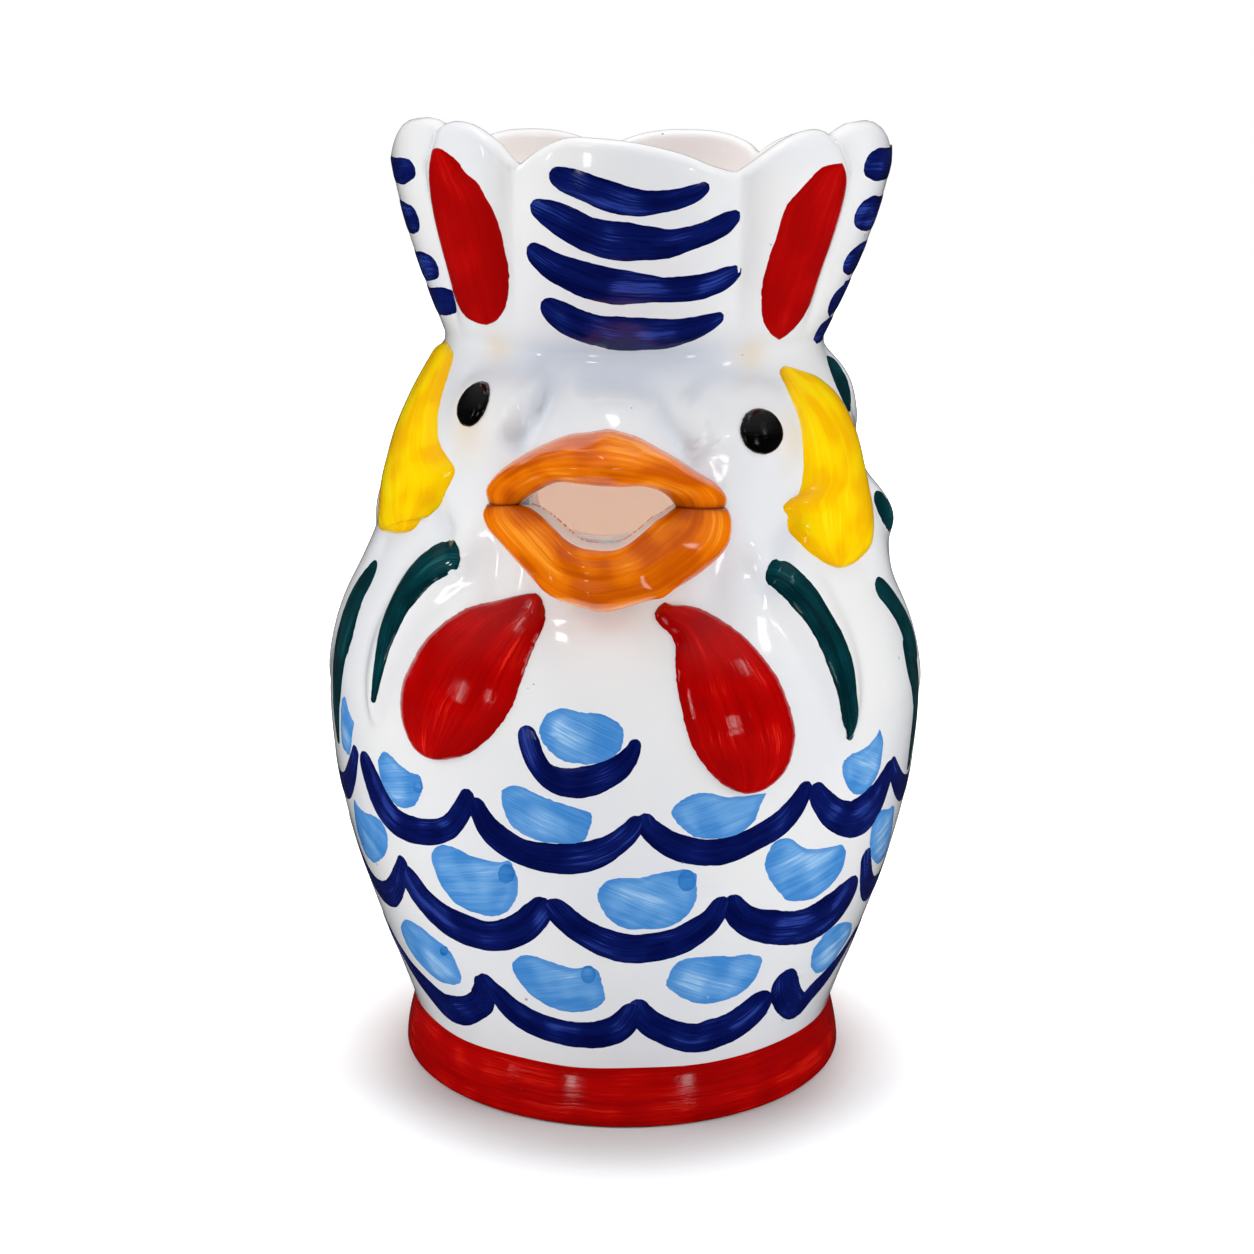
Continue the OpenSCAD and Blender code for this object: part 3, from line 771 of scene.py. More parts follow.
@dataclass
class Leaf:
    """A long pad of glaze between two hand-painted edges that meet at both ends."""

    edges: tuple[Array, Array]
    seed: int
    rise: float = 0.2
    dome: float = 0.0
    sink: float = 0.4
    ragged: float = 0.12
    rows: int = 96
    columns: int = 28

    def sheet(self, form: HenForm) -> Sheet:
        """Lays the pad on the body.

        Args:
            form: The shape of the body.

        Returns:
            A closed cross-section in each row, with one point at each end.
        """
        shares = (1 - np.cos(np.linspace(0, math.pi, self.rows + 1))) / 2
        left, right = (along_curve(edge, shares) for edge in self.edges)
        middle = (left + right) / 2
        scale = np.stack([form.degree(*middle.T), np.ones(self.rows + 1)], axis=1)
        half = (right - left) / 2
        width = np.linalg.norm(half * scale, axis=1)
        calm = np.clip(width / width.max() * 3, 0, 1)
        for edge, seed in ((left, self.seed), (right, self.seed + 1)):
            away = np.sign(((edge - middle) * half).sum(axis=1))[:, None] * half
            step = self.ragged * wobble(shares, seed, 44, 0.3) * calm / np.maximum(width, 0.5)
            edge += away * step[:, None]
        around, top = there_and_back(np.sin(np.linspace(-math.pi / 2, math.pi / 2, self.columns + 1)))
        share = (around + 1) / 2
        turn, z = mix(left[:, :1], right[:, :1], share), mix(left[:, 1:], right[:, 1:], share)
        full = np.clip(width / width.max(), 0, 1)[:, None]
        out = np.abs(around)
        height = (self.rise * np.clip(full * 5, 0, 1) ** 0.5 * (1 - out ** 7)
                  + self.dome * full ** 0.8 * np.clip(1 - out ** 2.6, 0, 1) ** 0.85)
        proud = np.where(top, height, -self.sink * np.clip(full * 5, 0, 1) * (1 - out ** 8))
        points = form.lifted(turn, z, proud)
        length = run_of(np.linalg.norm(np.diff(middle, axis=0) * scale[1:], axis=1))
        brush = np.stack(np.broadcast_arrays(length[:, None], around * width.max() * 0.8), axis=-1) / 10
        rim = np.maximum(out, 1 - np.clip(full * 1.6, 0, 1))
        return Sheet(points, brush, {"rim": rim, "tone": self.seed * 0.37 % 1})


@dataclass
class OnBody:
    """A sub-assembly that is laid on the body where the photograph shows it."""

    form: HenForm
    camera: PhotoCamera
    surface: BVHTree

    def spots(self, pixels: Row | Array) -> Array:
        """Finds the places on the body that pixels of the photograph show.

        Args:
            pixels: Places in the photograph, across and down in turn.

        Returns:
            One row of turn and height per pixel. A pixel just past the outline takes the nearest place on it.
        """
        place, right, up, forward = self.camera.axes()
        middle, focal = self.camera.picture / 2, self.camera.focal_px
        found = []
        for px, py in np.reshape(pixels, (-1, 2)):
            aim = (forward + right * ((px - middle) / focal) - up * ((py - middle) / focal)).normalized()
            hit = self.surface.ray_cast(place, aim)[0]
            if hit is None:
                along = [place + aim * (0.4 + 0.004 * k) for k in range(60)]
                hit = min((self.surface.find_nearest(point) for point in along), key=lambda n: n[3])[0]
            found.append(self.form.spot(hit))
        return np.array(found)

    def proud_spots(self, pixels: Array, proud: Array) -> Array:
        """Finds the places on the body above which pixels show something that stands proud of it.

        Args:
            pixels: Places in the photograph.
            proud: How far each stands proud, in millimetres.

        Returns:
            One row of turn and height per pixel.
        """
        aim = pixels.copy()
        for _ in range(3):
            turn, z = self.spots(aim).T
            r = self.form.outer_r(turn, z, relief=False) + proud
            aim += pixels - self.camera.pixel(self.form.place(turn, r, z))
        return self.spots(aim)

    def brushed(self, marks: Row) -> tuple[Array, list[float]]:
        """Finds a brush stroke of the photograph on the body.

        Args:
            marks: Places along its middle with its half width there in turn, in pixels.

        Returns:
            Its centre line as turns and heights, and its half widths in millimetres.
        """
        read = np.reshape(np.array(marks, float), (-1, 3))
        way = unit(np.gradient(read[:, :2], axis=0))
        off = np.stack([-way[:, 1], way[:, 0]], axis=1) * read[:, 2:]
        left, right = self.spots(read[:, :2] - off), self.spots(read[:, :2] + off)
        scale = np.stack([self.form.degree(*left.T), np.ones(len(left))], axis=1)
        run = unit(np.gradient((left + right) / 2 * scale, axis=0))
        apart = (right - left) * scale
        halves = np.abs(run[:, 0] * apart[:, 1] - run[:, 1] * apart[:, 0]) / 2
        return (left + right) / 2, list(np.minimum(halves, self.camera.widest * read[:, 2]))

    def laid(self, name: str, pad: Stroke | Patch | Leaf) -> Piece:
        """Lays a stroke, patch or leaf on the body."""
        return laid_grid(name, pad.sheet(self.form), angle=60)


# --- finishes


class Shop:
    """Makes nodes and links in one node tree."""

    def __init__(self, tree: bpy.types.NodeTree) -> None:
        """Takes the tree to work in."""
        self.tree = tree

    def fill(self, made: bpy.types.Node, **values: object) -> None:
        """Sets a node.

        Args:
            made: The node.
            values: Properties, or inputs where the name is one, each a value or a socket to link.
        """
        for key, value in values.items():
            if hasattr(made, key):
                setattr(made, key, value)
                continue
            socket = made.inputs[int(key[1:]) if key[1:].isdigit() else key.replace("__", " ")]
            if isinstance(value, Socket):
                self.tree.links.new(value, socket)
            else:
                socket.default_value = value

    def node(self, kind: str, **values: object) -> bpy.types.Node:
        """Adds a node, sets it and returns it."""
        made = self.tree.nodes.new("ShaderNode" + kind)
        self.fill(made, **values)
        return made

    def first(self, kind: str, **values: object) -> Socket:
        """Adds a node, sets it and returns its first output."""
        return self.node(kind, **values).outputs[0]

    def math(self, operation: str, a: object, b: object, clamp: bool = False) -> Socket:
        """Adds a math node and returns its result."""
        return self.first("Math", operation=operation, use_clamp=clamp, i0=a, i1=b)

    def times(self, a: object, b: object) -> Socket:
        """Returns the product of two values."""
        return self.math("MULTIPLY", a, b)

    def plus(self, a: object, b: object, clamp: bool = False) -> Socket:
        """Returns the sum of two values."""
        return self.math("ADD", a, b, clamp)

    def minus(self, a: object, b: object) -> Socket:
        """Returns the difference of two values."""
        return self.math("SUBTRACT", a, b)

    def blend(self, share: object, a: object, b: object) -> Socket:
        """Mixes two colours and returns the result."""
        return self.node("Mix", data_type="RGBA", clamp_factor=True, i0=share, i6=a, i7=b).outputs[2]

    def ramp(self, value: object, low: float, high: float) -> Socket:
        """Returns how far a value is from low to high, smoothly, from 0 to 1."""
        return self.first("MapRange", interpolation_type="SMOOTHSTEP", i0=value, i1=low, i2=high)

    def noise(self, vector: object, scale: object, detail: float, roughness: float = 0.5) -> Socket:
        """Adds a noise and returns its value."""
        return self.first("TexNoise", Vector=vector, Scale=scale, Detail=detail, Roughness=roughness)

    def attribute(self, name: str) -> Socket:
        """Returns the value of one of the piece's attributes."""
        return self.node("Attribute", attribute_name=name).outputs["Fac"]

    def brush_map(self) -> Socket:
        """Returns the piece's places along and across the brush."""
        return self.first("UVMap", uv_map="brush")


def new_group(name: str, inputs: dict[str, object], *outputs: str) -> tuple[Shop, object, bpy.types.Node]:
    """Makes an empty shader node group.

    Args:
        name: Its name.
        inputs: Name and default of each input, a number or a colour.
        outputs: Name of each output, a number unless it is the colour.

    Returns:
        The group's shop, what the group is given, and its output node.
    """
    group = bpy.data.node_groups.new(name, "ShaderNodeTree")
    for key, value in inputs.items():
        kind = "NodeSocketFloat" if isinstance(value, float) else "NodeSocketColor"
        group.interface.new_socket(key, in_out="INPUT", socket_type=kind).default_value = value
    for key in outputs:
        kind = "NodeSocketColor" if key == "Color" else "NodeSocketFloat"
        group.interface.new_socket(key, in_out="OUTPUT", socket_type=kind)
    given = group.nodes.new("NodeGroupInput").outputs
    return Shop(group), given, group.nodes.new("NodeGroupOutput")


def new_material(name: str) -> tuple[bpy.types.Material, Shop, bpy.types.Node]:
    """Makes a material and returns it with its shop and its shader."""
    material = bpy.data.materials.new(name)
    material.use_nodes = True
    return material, Shop(material.node_tree), material.node_tree.nodes["Principled BSDF"]


class Effects:
    """The effects that several finishes share."""

    def __init__(self) -> None:
        """Builds the groups."""
        self.brush = self.brush_group()
        self.glaze = self.glaze_group()

    def brush_group(self) -> bpy.types.NodeTree:
        """Builds the bristle streaks, blotches and pooled edge of brushed glaze."""
        white = (1.0, 1.0, 1.0, 1.0)
        shop, given, result = new_group("brushed_glaze", {
            "Deep": white, "Middle": white, "Light": white, "Fine": 30.0, "Streaks": 0.5,
            "Blotches": 0.4, "Pooling": 0.5}, "Color", "Height")
        uv = shop.brush_map()
        tone = shop.attribute("tone")
        rim = shop.attribute("rim")
        shift = shop.first("CombineXYZ", X=shop.times(tone, 31.0), Y=shop.times(tone, 17.0))
        bend = shop.first("CombineXYZ", Y=shop.times(shop.noise(uv, 1.1, 1.0), 0.1))
        at = shop.first("VectorMath", operation="ADD", i0=uv, i1=shift)
        at = shop.first("VectorMath", operation="ADD", i0=at, i1=bend)
        long = shop.first("Mapping", Vector=at, Scale=(0.035, 1.0, 1.0))
        fine = shop.noise(long, given["Fine"], 3.0, 0.65)
        streak = shop.plus(shop.times(fine, 0.55), shop.times(shop.noise(long, 3.2, 2.0), 0.45))
        streak = shop.ramp(streak, 0.34, 0.72)
        blot = shop.ramp(shop.noise(at, 0.9, 1.0), 0.35, 0.7)
        core = shop.minus(1.2, shop.times(rim, 0.45))
        core = shop.times(core, shop.plus(0.6, shop.times(blot, 0.7)))
        value = shop.plus(shop.times(shop.times(streak, core), given["Streaks"]),
                          shop.times(blot, given["Blotches"]), clamp=True)
        thin = shop.blend(shop.ramp(value, 0.0, 0.5), given["Deep"], given["Middle"])
        colour = shop.blend(shop.ramp(value, 0.5, 1.0), thin, given["Light"])
        pooled = shop.ramp(shop.plus(rim, shop.times(shop.minus(blot, 0.5), 0.2)), 0.72, 0.97)
        colour = shop.blend(shop.times(pooled, given["Pooling"]), colour, given["Deep"])
        shop.fill(result, Color=colour, Height=value)
        return shop.tree

    def glaze_group(self) -> bpy.types.NodeTree:
        """Builds the pinholes and the slight waviness of a fired glaze."""
        shop, _, result = new_group("fired_glaze", {}, "Pinholes", "Waviness", "Blotches")
        at = shop.node("TexCoord").outputs["Object"]
        cells = shop.node("TexVoronoi", Vector=at, Scale=150.0).outputs
        chance = shop.node("SeparateColor", i0=cells["Color"]).outputs
        dot = shop.math("LESS_THAN", cells["Distance"], shop.times(chance[0], 0.075))
        here = shop.math("GREATER_THAN", chance[1], 0.72)
        waves = shop.plus(shop.noise(at, 34.0, 1.0), shop.times(shop.noise(at, 120.0, 1.0), 0.18))
        shop.fill(result, Pinholes=shop.times(dot, here), Waviness=waves,
                  Blotches=shop.ramp(shop.noise(at, 21.0, 3.0), 0.3, 0.7))
        return shop.tree


@dataclass(frozen=True)
class BrushedGlaze:
    """Coloured glaze laid on with a brush."""

    name: str
    deep: Colour
    middle: Colour
    light: Colour
    fine: float = 26.0
    streaks: float = 0.75
    blotches: float = 0.35
    pooling: float = 0.6
    # crease: painted shade, the darker colour in the beak's mouth corners
    crease: Colour = (126, 40, 0)
    bare_clay: Colour = (226, 214, 208)
    roughness: float = 0.07
    relief: float = 0.00008
    waviness: float = 0.0003

    def make(self, effects: Effects) -> bpy.types.Material:
        """Builds the material.

        Args:
            effects: The shared groups.

        Returns:
            The material.
        """
        material, shop, shader = new_material(self.name)
        brush = shop.node("Group", node_tree=effects.brush, Deep=linear(*self.deep),
                          Middle=linear(*self.middle), Light=linear(*self.light), Fine=self.fine,
                          Streaks=self.streaks, Blotches=self.blotches, Pooling=self.pooling).outputs
        fired = shop.node("Group", node_tree=effects.glaze).outputs
        colour = shop.blend(shop.times(fired["Pinholes"], 0.5), brush["Color"], linear(*self.light))
        # Painted shade: darker orange-brown in the beak's mouth corners
        colour = shop.blend(shop.attribute("crease"), colour, linear(*self.crease))
        bare = shop.plus(shop.attribute("bare"), shop.times(brush["Height"], 0.2))
        colour = shop.blend(shop.ramp(bare, 0.5, 0.72), colour, linear(*self.bare_clay))
        height = shop.plus(shop.times(brush["Height"], self.relief),
                           shop.times(fired["Waviness"], self.waviness))
        shop.fill(shader, Base__Color=colour, Roughness=self.roughness, IOR=1.46, Coat__Weight=0.25,
                  Coat__Roughness=0.03, Normal=shop.first("Bump", Strength=0.7, Distance=1.0, Height=height))
        return material


@dataclass(frozen=True)
class WhiteGlaze:
    """The bluish-white glaze of the body, with painted warm shade inside and painted bluish shade in its
    hollows.
    """

    name: str
    white: Colour = (240, 240, 240)
    cool: Colour = (232, 234, 239)
    # warm: painted warm shade on the inner wall, standing in for the dim inside of the pitcher
    warm_shade: Colour = (251, 235, 224)
    stain: Colour = (236, 213, 176)
    # pooled: bluish colour of glaze pooled in the hollows, which also stands in as painted shade there
    pooled: Colour = (203, 211, 226)
    pinhole: Colour = (120, 116, 120)
    dashes: Colour | None = None
    waviness: float = 0.0005
    pinhole_depth: float = 0.00005

    def make(self, effects: Effects) -> bpy.types.Material:
        """Builds the material.

        Args:
            effects: The shared groups.

        Returns:
            The material.
        """
        material, shop, shader = new_material(self.name)
        fired = shop.node("Group", node_tree=effects.glaze).outputs
        inside = shop.attribute("inside")
        colour = shop.blend(fired["Blotches"], linear(*self.white), linear(*self.cool))
        # Painted warm shade inside the pitcher, stronger deeper in
        colour = shop.blend(inside, colour, linear(*self.warm_shade))
        # Bluish pooled glaze with painted shade in the head's creases and the neck's crease
        colour = shop.blend(shop.attribute("pooled"), colour, linear(*self.pooled))
        colour = shop.blend(shop.attribute("stain"), colour, linear(*self.stain))
        colour = shop.blend(shop.times(fired["Pinholes"], 0.75), colour, linear(*self.pinhole))
        if self.dashes:
            brush = shop.node("Group", node_tree=effects.brush, Deep=linear(0, 10, 70),
                              Middle=linear(*self.dashes), Light=linear(40, 60, 150), Fine=26.0,
                              Streaks=0.7, Blotches=0.3, Pooling=0.0)
            edge = shop.times(shop.minus(shop.noise(shop.brush_map(), 9.0, 2.0), 0.5), 0.5)
            mask = shop.ramp(shop.plus(shop.attribute("dash"), edge), 0.46, 0.54)
            colour = shop.blend(mask, colour, brush.outputs["Color"])
        height = shop.minus(shop.times(fired["Waviness"], self.waviness),
                            shop.times(fired["Pinholes"], self.pinhole_depth))
        shop.fill(shader, Base__Color=colour, Roughness=shop.plus(shop.times(inside, 0.4), 0.1), IOR=1.5,
                  Coat__Weight=shop.minus(0.6, shop.times(inside, 0.6)), Coat__Roughness=0.03,
                  Normal=shop.first("Bump", Strength=0.8, Distance=1.0, Height=height))
        return material


class Glaze(Enum):
    """The glazes, each with its record slot."""

    WHITE = "white_glaze", WhiteGlaze("white_body_glaze")
    HANDLE = "white_glaze", WhiteGlaze("handle_glaze", dashes=(10, 26, 96))
    RED = "red_glaze", BrushedGlaze("foot_red", (150, 0, 0), (178, 2, 1), (206, 26, 13), 16.0, 0.8, 0.1, 0.25)
    OVAL = "red_glaze", BrushedGlaze("crest_red", (160, 0, 0), (180, 3, 3), (206, 30, 24), 12.0, 0.6, 0.2,
                                     0.3)
    CRIMSON = "wattle_glaze", BrushedGlaze(
        "wattle_red", (158, 0, 0), (182, 1, 1), (236, 40, 24), 14.0, 0.75, 0.15, 0.35)
    ORANGE = "orange_glaze", BrushedGlaze(
        "beak_orange", (196, 82, 0), (232, 116, 2), (255, 158, 40), 8.0, 0.5, 0.45, 0.5)
    YELLOW = "yellow_glaze", BrushedGlaze(
        "cheek_yellow", (250, 184, 0), (255, 212, 0), (255, 228, 20), 9.0, 0.5, 0.45, 0.25)
    BLACK = "black_glaze", BrushedGlaze("eye_black", (1, 1, 2), (4, 4, 5), (12, 12, 14), roughness=0.06)
    GREEN = "green_glaze", BrushedGlaze(
        "feather_green", (0, 34, 40), (4, 56, 62), (30, 92, 98), 16.0, 0.7, 0.2)
    NAVY = "navy_glaze", BrushedGlaze(
        "navy_brush", (1, 8, 66), (7, 22, 92), (40, 62, 150), 20.0, 0.8, 0.25, 0.45)
    SKY = "blue_glaze", BrushedGlaze(
        "sky_wash", (62, 134, 208), (104, 164, 224), (160, 202, 242), 20.0, 0.7, 0.35, 0.6)
    DEEP_SKY = "blue_glaze", BrushedGlaze("sky_pool", (30, 104, 184), (56, 128, 200), (84, 150, 214), 9.0)


@dataclass
class Palette:
    """The glazes as they are mixed: one material each."""

    effects: Effects
    mixed: dict[Glaze, bpy.types.Material] = field(default_factory=dict)

    def dress(self, piece: Piece, glaze: Glaze, *nodes: str) -> None:
        """Glazes a piece, rides it on the body, and hides the CAD nodes that it stands for.

        Args:
            piece: The piece.
            glaze: Its glaze.
            nodes: The CAD nodes that it replaces.
        """
        slot, finish = glaze.value
        if glaze not in self.mixed:
            self.mixed[glaze] = finish.make(self.effects)
        piece.data.materials.clear()
        piece.data.materials.append(self.mixed[glaze])
        if nodes:
            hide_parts(*nodes)
        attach(piece, "root")
        LOG.info("%s: %d faces", piece.name, len(piece.data.polygons))


# --- sub-assemblies


@dataclass
class Body:
    """The belly, head and crest as one glazed shell, open at the crest and the beak."""

    form: HenForm
    columns: int = 240
    window_columns: int = 12
    window_rows: int = 6
    belly_rows: int = 76
    low_rows: int = 27
    high_rows: int = 24
    crest_rows: int = 40
    lip_rows: int = 8
    nodes: tuple[str, ...] = (
        "belly_shell", "head_shell", "crest_front", "crest_narrow_right", "crest_side_right",
        "crest_back_right", "crest_rear_right", "crest_rear_left", "crest_side_left", "crest_narrow_left")
    stains: tuple[Mark, ...] = ((-39, 196, 4.0), (39, 195, 4.5), (-37, 177, 7.0), (44, 175, 6.0))

    def round_opening(self, turn: Array, z: Array, inner: bool) -> tuple[Array, Array]:
        """Draws the head's grid in round the pouring opening, so that its edge becomes an oval.

        Args:
            turn: Directions.
            z: Heights.
            inner: Whether it is the inner wall.

        Returns:
            The moved directions and heights.
        """
        f = self.form
        window_turn, middle = 18.0, -1.5
        opening_turn = math.degrees(math.asin(f.opening_w / 2 / float(f.skin_r(0, f.mouth_z))))
        above = z > f.mouth_z
        row = np.where(above, (f.neck_z - f.mouth_z) / 8, (f.mouth_z - f.joint_z) / 9)
        half = np.where(above, f.opening_rise - (2.4 if inner else 0.4), f.opening_drop + 0.6)
        x, y = turn / window_turn, (z - f.mouth_z) / (2 * row)
        reach = np.maximum(np.abs(x), np.abs(y))
        length = np.hypot(x, y)
        draw = np.where(reach == 0, 1, reach / np.where(length == 0, 1, length))
        share = smooth((3.2 - reach) / 2.2)
        return (mix(turn, middle + x * draw * opening_turn, share),
                mix(z, f.mouth_z + y * draw * half, share))

    def head_heights(self) -> Array:
        """Returns the heights of the head's rows from its joint up to the neck."""
        f = self.form
        return np.concatenate([np.linspace(f.joint_z, f.mouth_z, self.low_rows + 1),
                               np.linspace(f.mouth_z, f.neck_z, self.high_rows + 1)[1:]])

    def build(self, palette: Palette) -> None:
        """Builds and glazes the shell.

        Args:
            palette: The glazes.
        """
        f = self.form
        turns = np.linspace(-180, 180, self.columns + 1)
        top = f.height - f.fullness(turns)[1]
        plug_r = f.foot_r - f.foot_band_t - 0.1
        rows: list[Array] = []
        inside: list[float] = []

        def ring(r: Array, z: Array, warm_shade: float, turn: Array = turns) -> None:
            """Adds a row of points."""
            rows.append(f.place(turn, r, z))
            inside.append(warm_shade)

        for share in np.linspace(0, 1, 7):
            ring(plug_r * share, 0, 0)
        ring(plug_r, f.foot_h, 0)
        for z in np.linspace(f.foot_h, f.joint_z, self.belly_rows)[:-1]:
            ring(f.outer_r(turns, z), z, 0)
        head_start = len(rows)
        for z in self.head_heights():
            turn, height = self.round_opening(turns, z, inner=False)
            ring(f.outer_r(turn, height), height, 0, turn)
        for k in range(1, self.crest_rows + 1):
            z = mix(f.neck_z, top - f.lip_round, k / self.crest_rows)
            ring(f.outer_r(turns, z), z, 0)
        # Round the lip and down the inner wall the painted warm shade grows, to full in the head and bowl
        for k in range(1, self.lip_rows):
            angle = math.pi * k / self.lip_rows
            z = top - f.lip_round * (1 - math.sin(angle))
            r = f.outer_r(turns, top - f.lip_round) - f.wall / 2 * (1 - math.cos(angle))
            ring(r, z, 0.25 * k / self.lip_rows)
        for k in range(20, 0, -1):
            z = mix(f.neck_z, top - f.lip_round, k / 20)
            ring(f.outer_r(turns, z) - f.wall, z, mix(0.85, 0.25, k / 20))
        inner_start = len(rows)
        for z in self.head_heights()[::-1]:
            turn, height = self.round_opening(turns, z, inner=True)
            ring(f.outer_r(turn, height, relief=False) - f.wall, height, 1, turn)
        for z in np.linspace(f.joint_z, f.bowl_rise, 28)[1:]:
            ring(f.body_r(z) - f.wall, z, 1)
        bowl_r = float(f.body_r(f.bowl_rise)) - f.wall
        for angle in np.linspace(0, math.pi / 2, 11)[1:]:
            z = f.bowl_rise - (f.bowl_rise - f.floor_t) * math.sin(angle)
            r = f.floor_flat_r + (bowl_r - f.floor_flat_r) * math.cos(angle)
            limit = float(f.body_r(z)) - f.wall
            ring(min(r, limit) if z > f.foot_h else r, z, 1)
        for share in (0.66, 0.33, 0.0):
            ring(f.floor_flat_r * share, f.floor_t, 1)
        points = np.stack(rows)
        warm_shade = np.array(inside)[:, None]
        # inside carries the painted warm shade and the rougher inner glaze; pooled carries bluish pooled
        # glaze with painted shade outside
        values = {"inside": warm_shade, "stain": self.stain_values(points),
                  "pooled": self.pooled_glaze_and_shade(points) * (warm_shade == 0)}
        piece = self.cut_window(Sheet(points, None, values), head_start, inner_start)
        palette.dress(piece, Glaze.WHITE, *self.nodes)

    def stain_values(self, points: Array) -> Array:
        """Returns how much each point is stained by the coloured glazes near it.

        Args:
            points: The shell's points.

        Returns:
            The stain at each point.
        """
        stain = np.zeros(points.shape[:2])
        for turn, z, reach in self.stains:
            middle = self.form.place(turn, self.form.outer_r(turn, z), z)
            distance = np.linalg.norm(points - middle, axis=-1) / (reach * MM)
            stain = np.maximum(stain, 0.5 * np.exp(-distance ** 2))
        return stain

    def pooled_glaze_and_shade(self, points: Array) -> Array:
        """Returns how much bluish glaze pools, with painted shade, in the hollows of the head and in the
        neck's crease.

        Args:
            points: The shell's points.

        Returns:
            The pooled glaze and painted shade at each point, from 0 to 1.
        """
        f = self.form
        z = points[..., 2] / MM
        turn = np.degrees(np.arctan2(points[..., 0] / MM - f.lean(z), -points[..., 1] / MM))
        hollow_shade = -sum(f.crease(turn, z, line, 1.5 * width, min(rise, 0.0))
                      for line, width, rise in f.creases)
        # Painted shade along the neck's crease, strongest at the front
        neck = mix(0.08, 0.85, smooth((42 - np.abs(turn)) / 30)) * np.exp(-((z - f.neck_z) / 5.0) ** 2)
        return np.clip(0.2 * hollow_shade + neck, 0, 0.8)

    def cut_window(self, sheet: Sheet, head_start: int, inner_start: int) -> Piece:
        """Lays the shell's grid, then opens it inside the beak and joins the opening's two edges.

        Args:
            sheet: The shell's points.
            head_start: Row of the outer sheet at the head's joint.
            inner_start: Row of the inner sheet at the neck.

        Returns:
            The closed shell with its pouring opening.
        """
        middle, p = self.columns // 2, sheet.points
        starts = head_start + self.low_rows, inner_start + self.high_rows
        rows, across = np.array([
            (start + row, middle + column) for start in starts
            for row in range(-self.window_rows, self.window_rows)
            for column in range(-self.window_columns, self.window_columns)]).T
        centres = (p[rows, across] + p[rows, across + 1] + p[rows + 1, across] + p[rows + 1, across + 1]) / 4
        piece = laid_grid("glazed_body", sheet)
        bpy.ops.object.mode_set(mode="EDIT")
        bpy.ops.mesh.select_mode(type="FACE")
        everything("DESELECT")
        bpy.ops.object.mode_set(mode="OBJECT")
        faces = KDTree(len(piece.data.polygons))
        for polygon in piece.data.polygons:
            faces.insert(polygon.center, polygon.index)
        faces.balance()
        chosen = np.zeros(len(piece.data.polygons), bool)
        for centre in centres.tolist():
            chosen[faces.find(centre)[1]] = True
        piece.data.polygons.foreach_set("select", chosen)
        bpy.ops.object.mode_set(mode="EDIT")
        bpy.ops.mesh.delete(type="FACE")
        bpy.ops.mesh.select_mode(type="EDGE")
        everything("DESELECT")
        bpy.ops.mesh.select_non_manifold()
        bpy.ops.mesh.bridge_edge_loops()
        everything("DESELECT")
        bpy.ops.object.mode_set(mode="OBJECT")
        bpy.ops.object.shade_smooth_by_angle(angle=50 * DEGREE)
        return piece


@dataclass(frozen=True)
class LipShape:
    """One lip of the beak as the photograph shows it, from its left corner to its right."""

    edge: Row
    opening: Row
    reach: float
    nub: Place
    crown: float
    overhang: float
    fall: Place


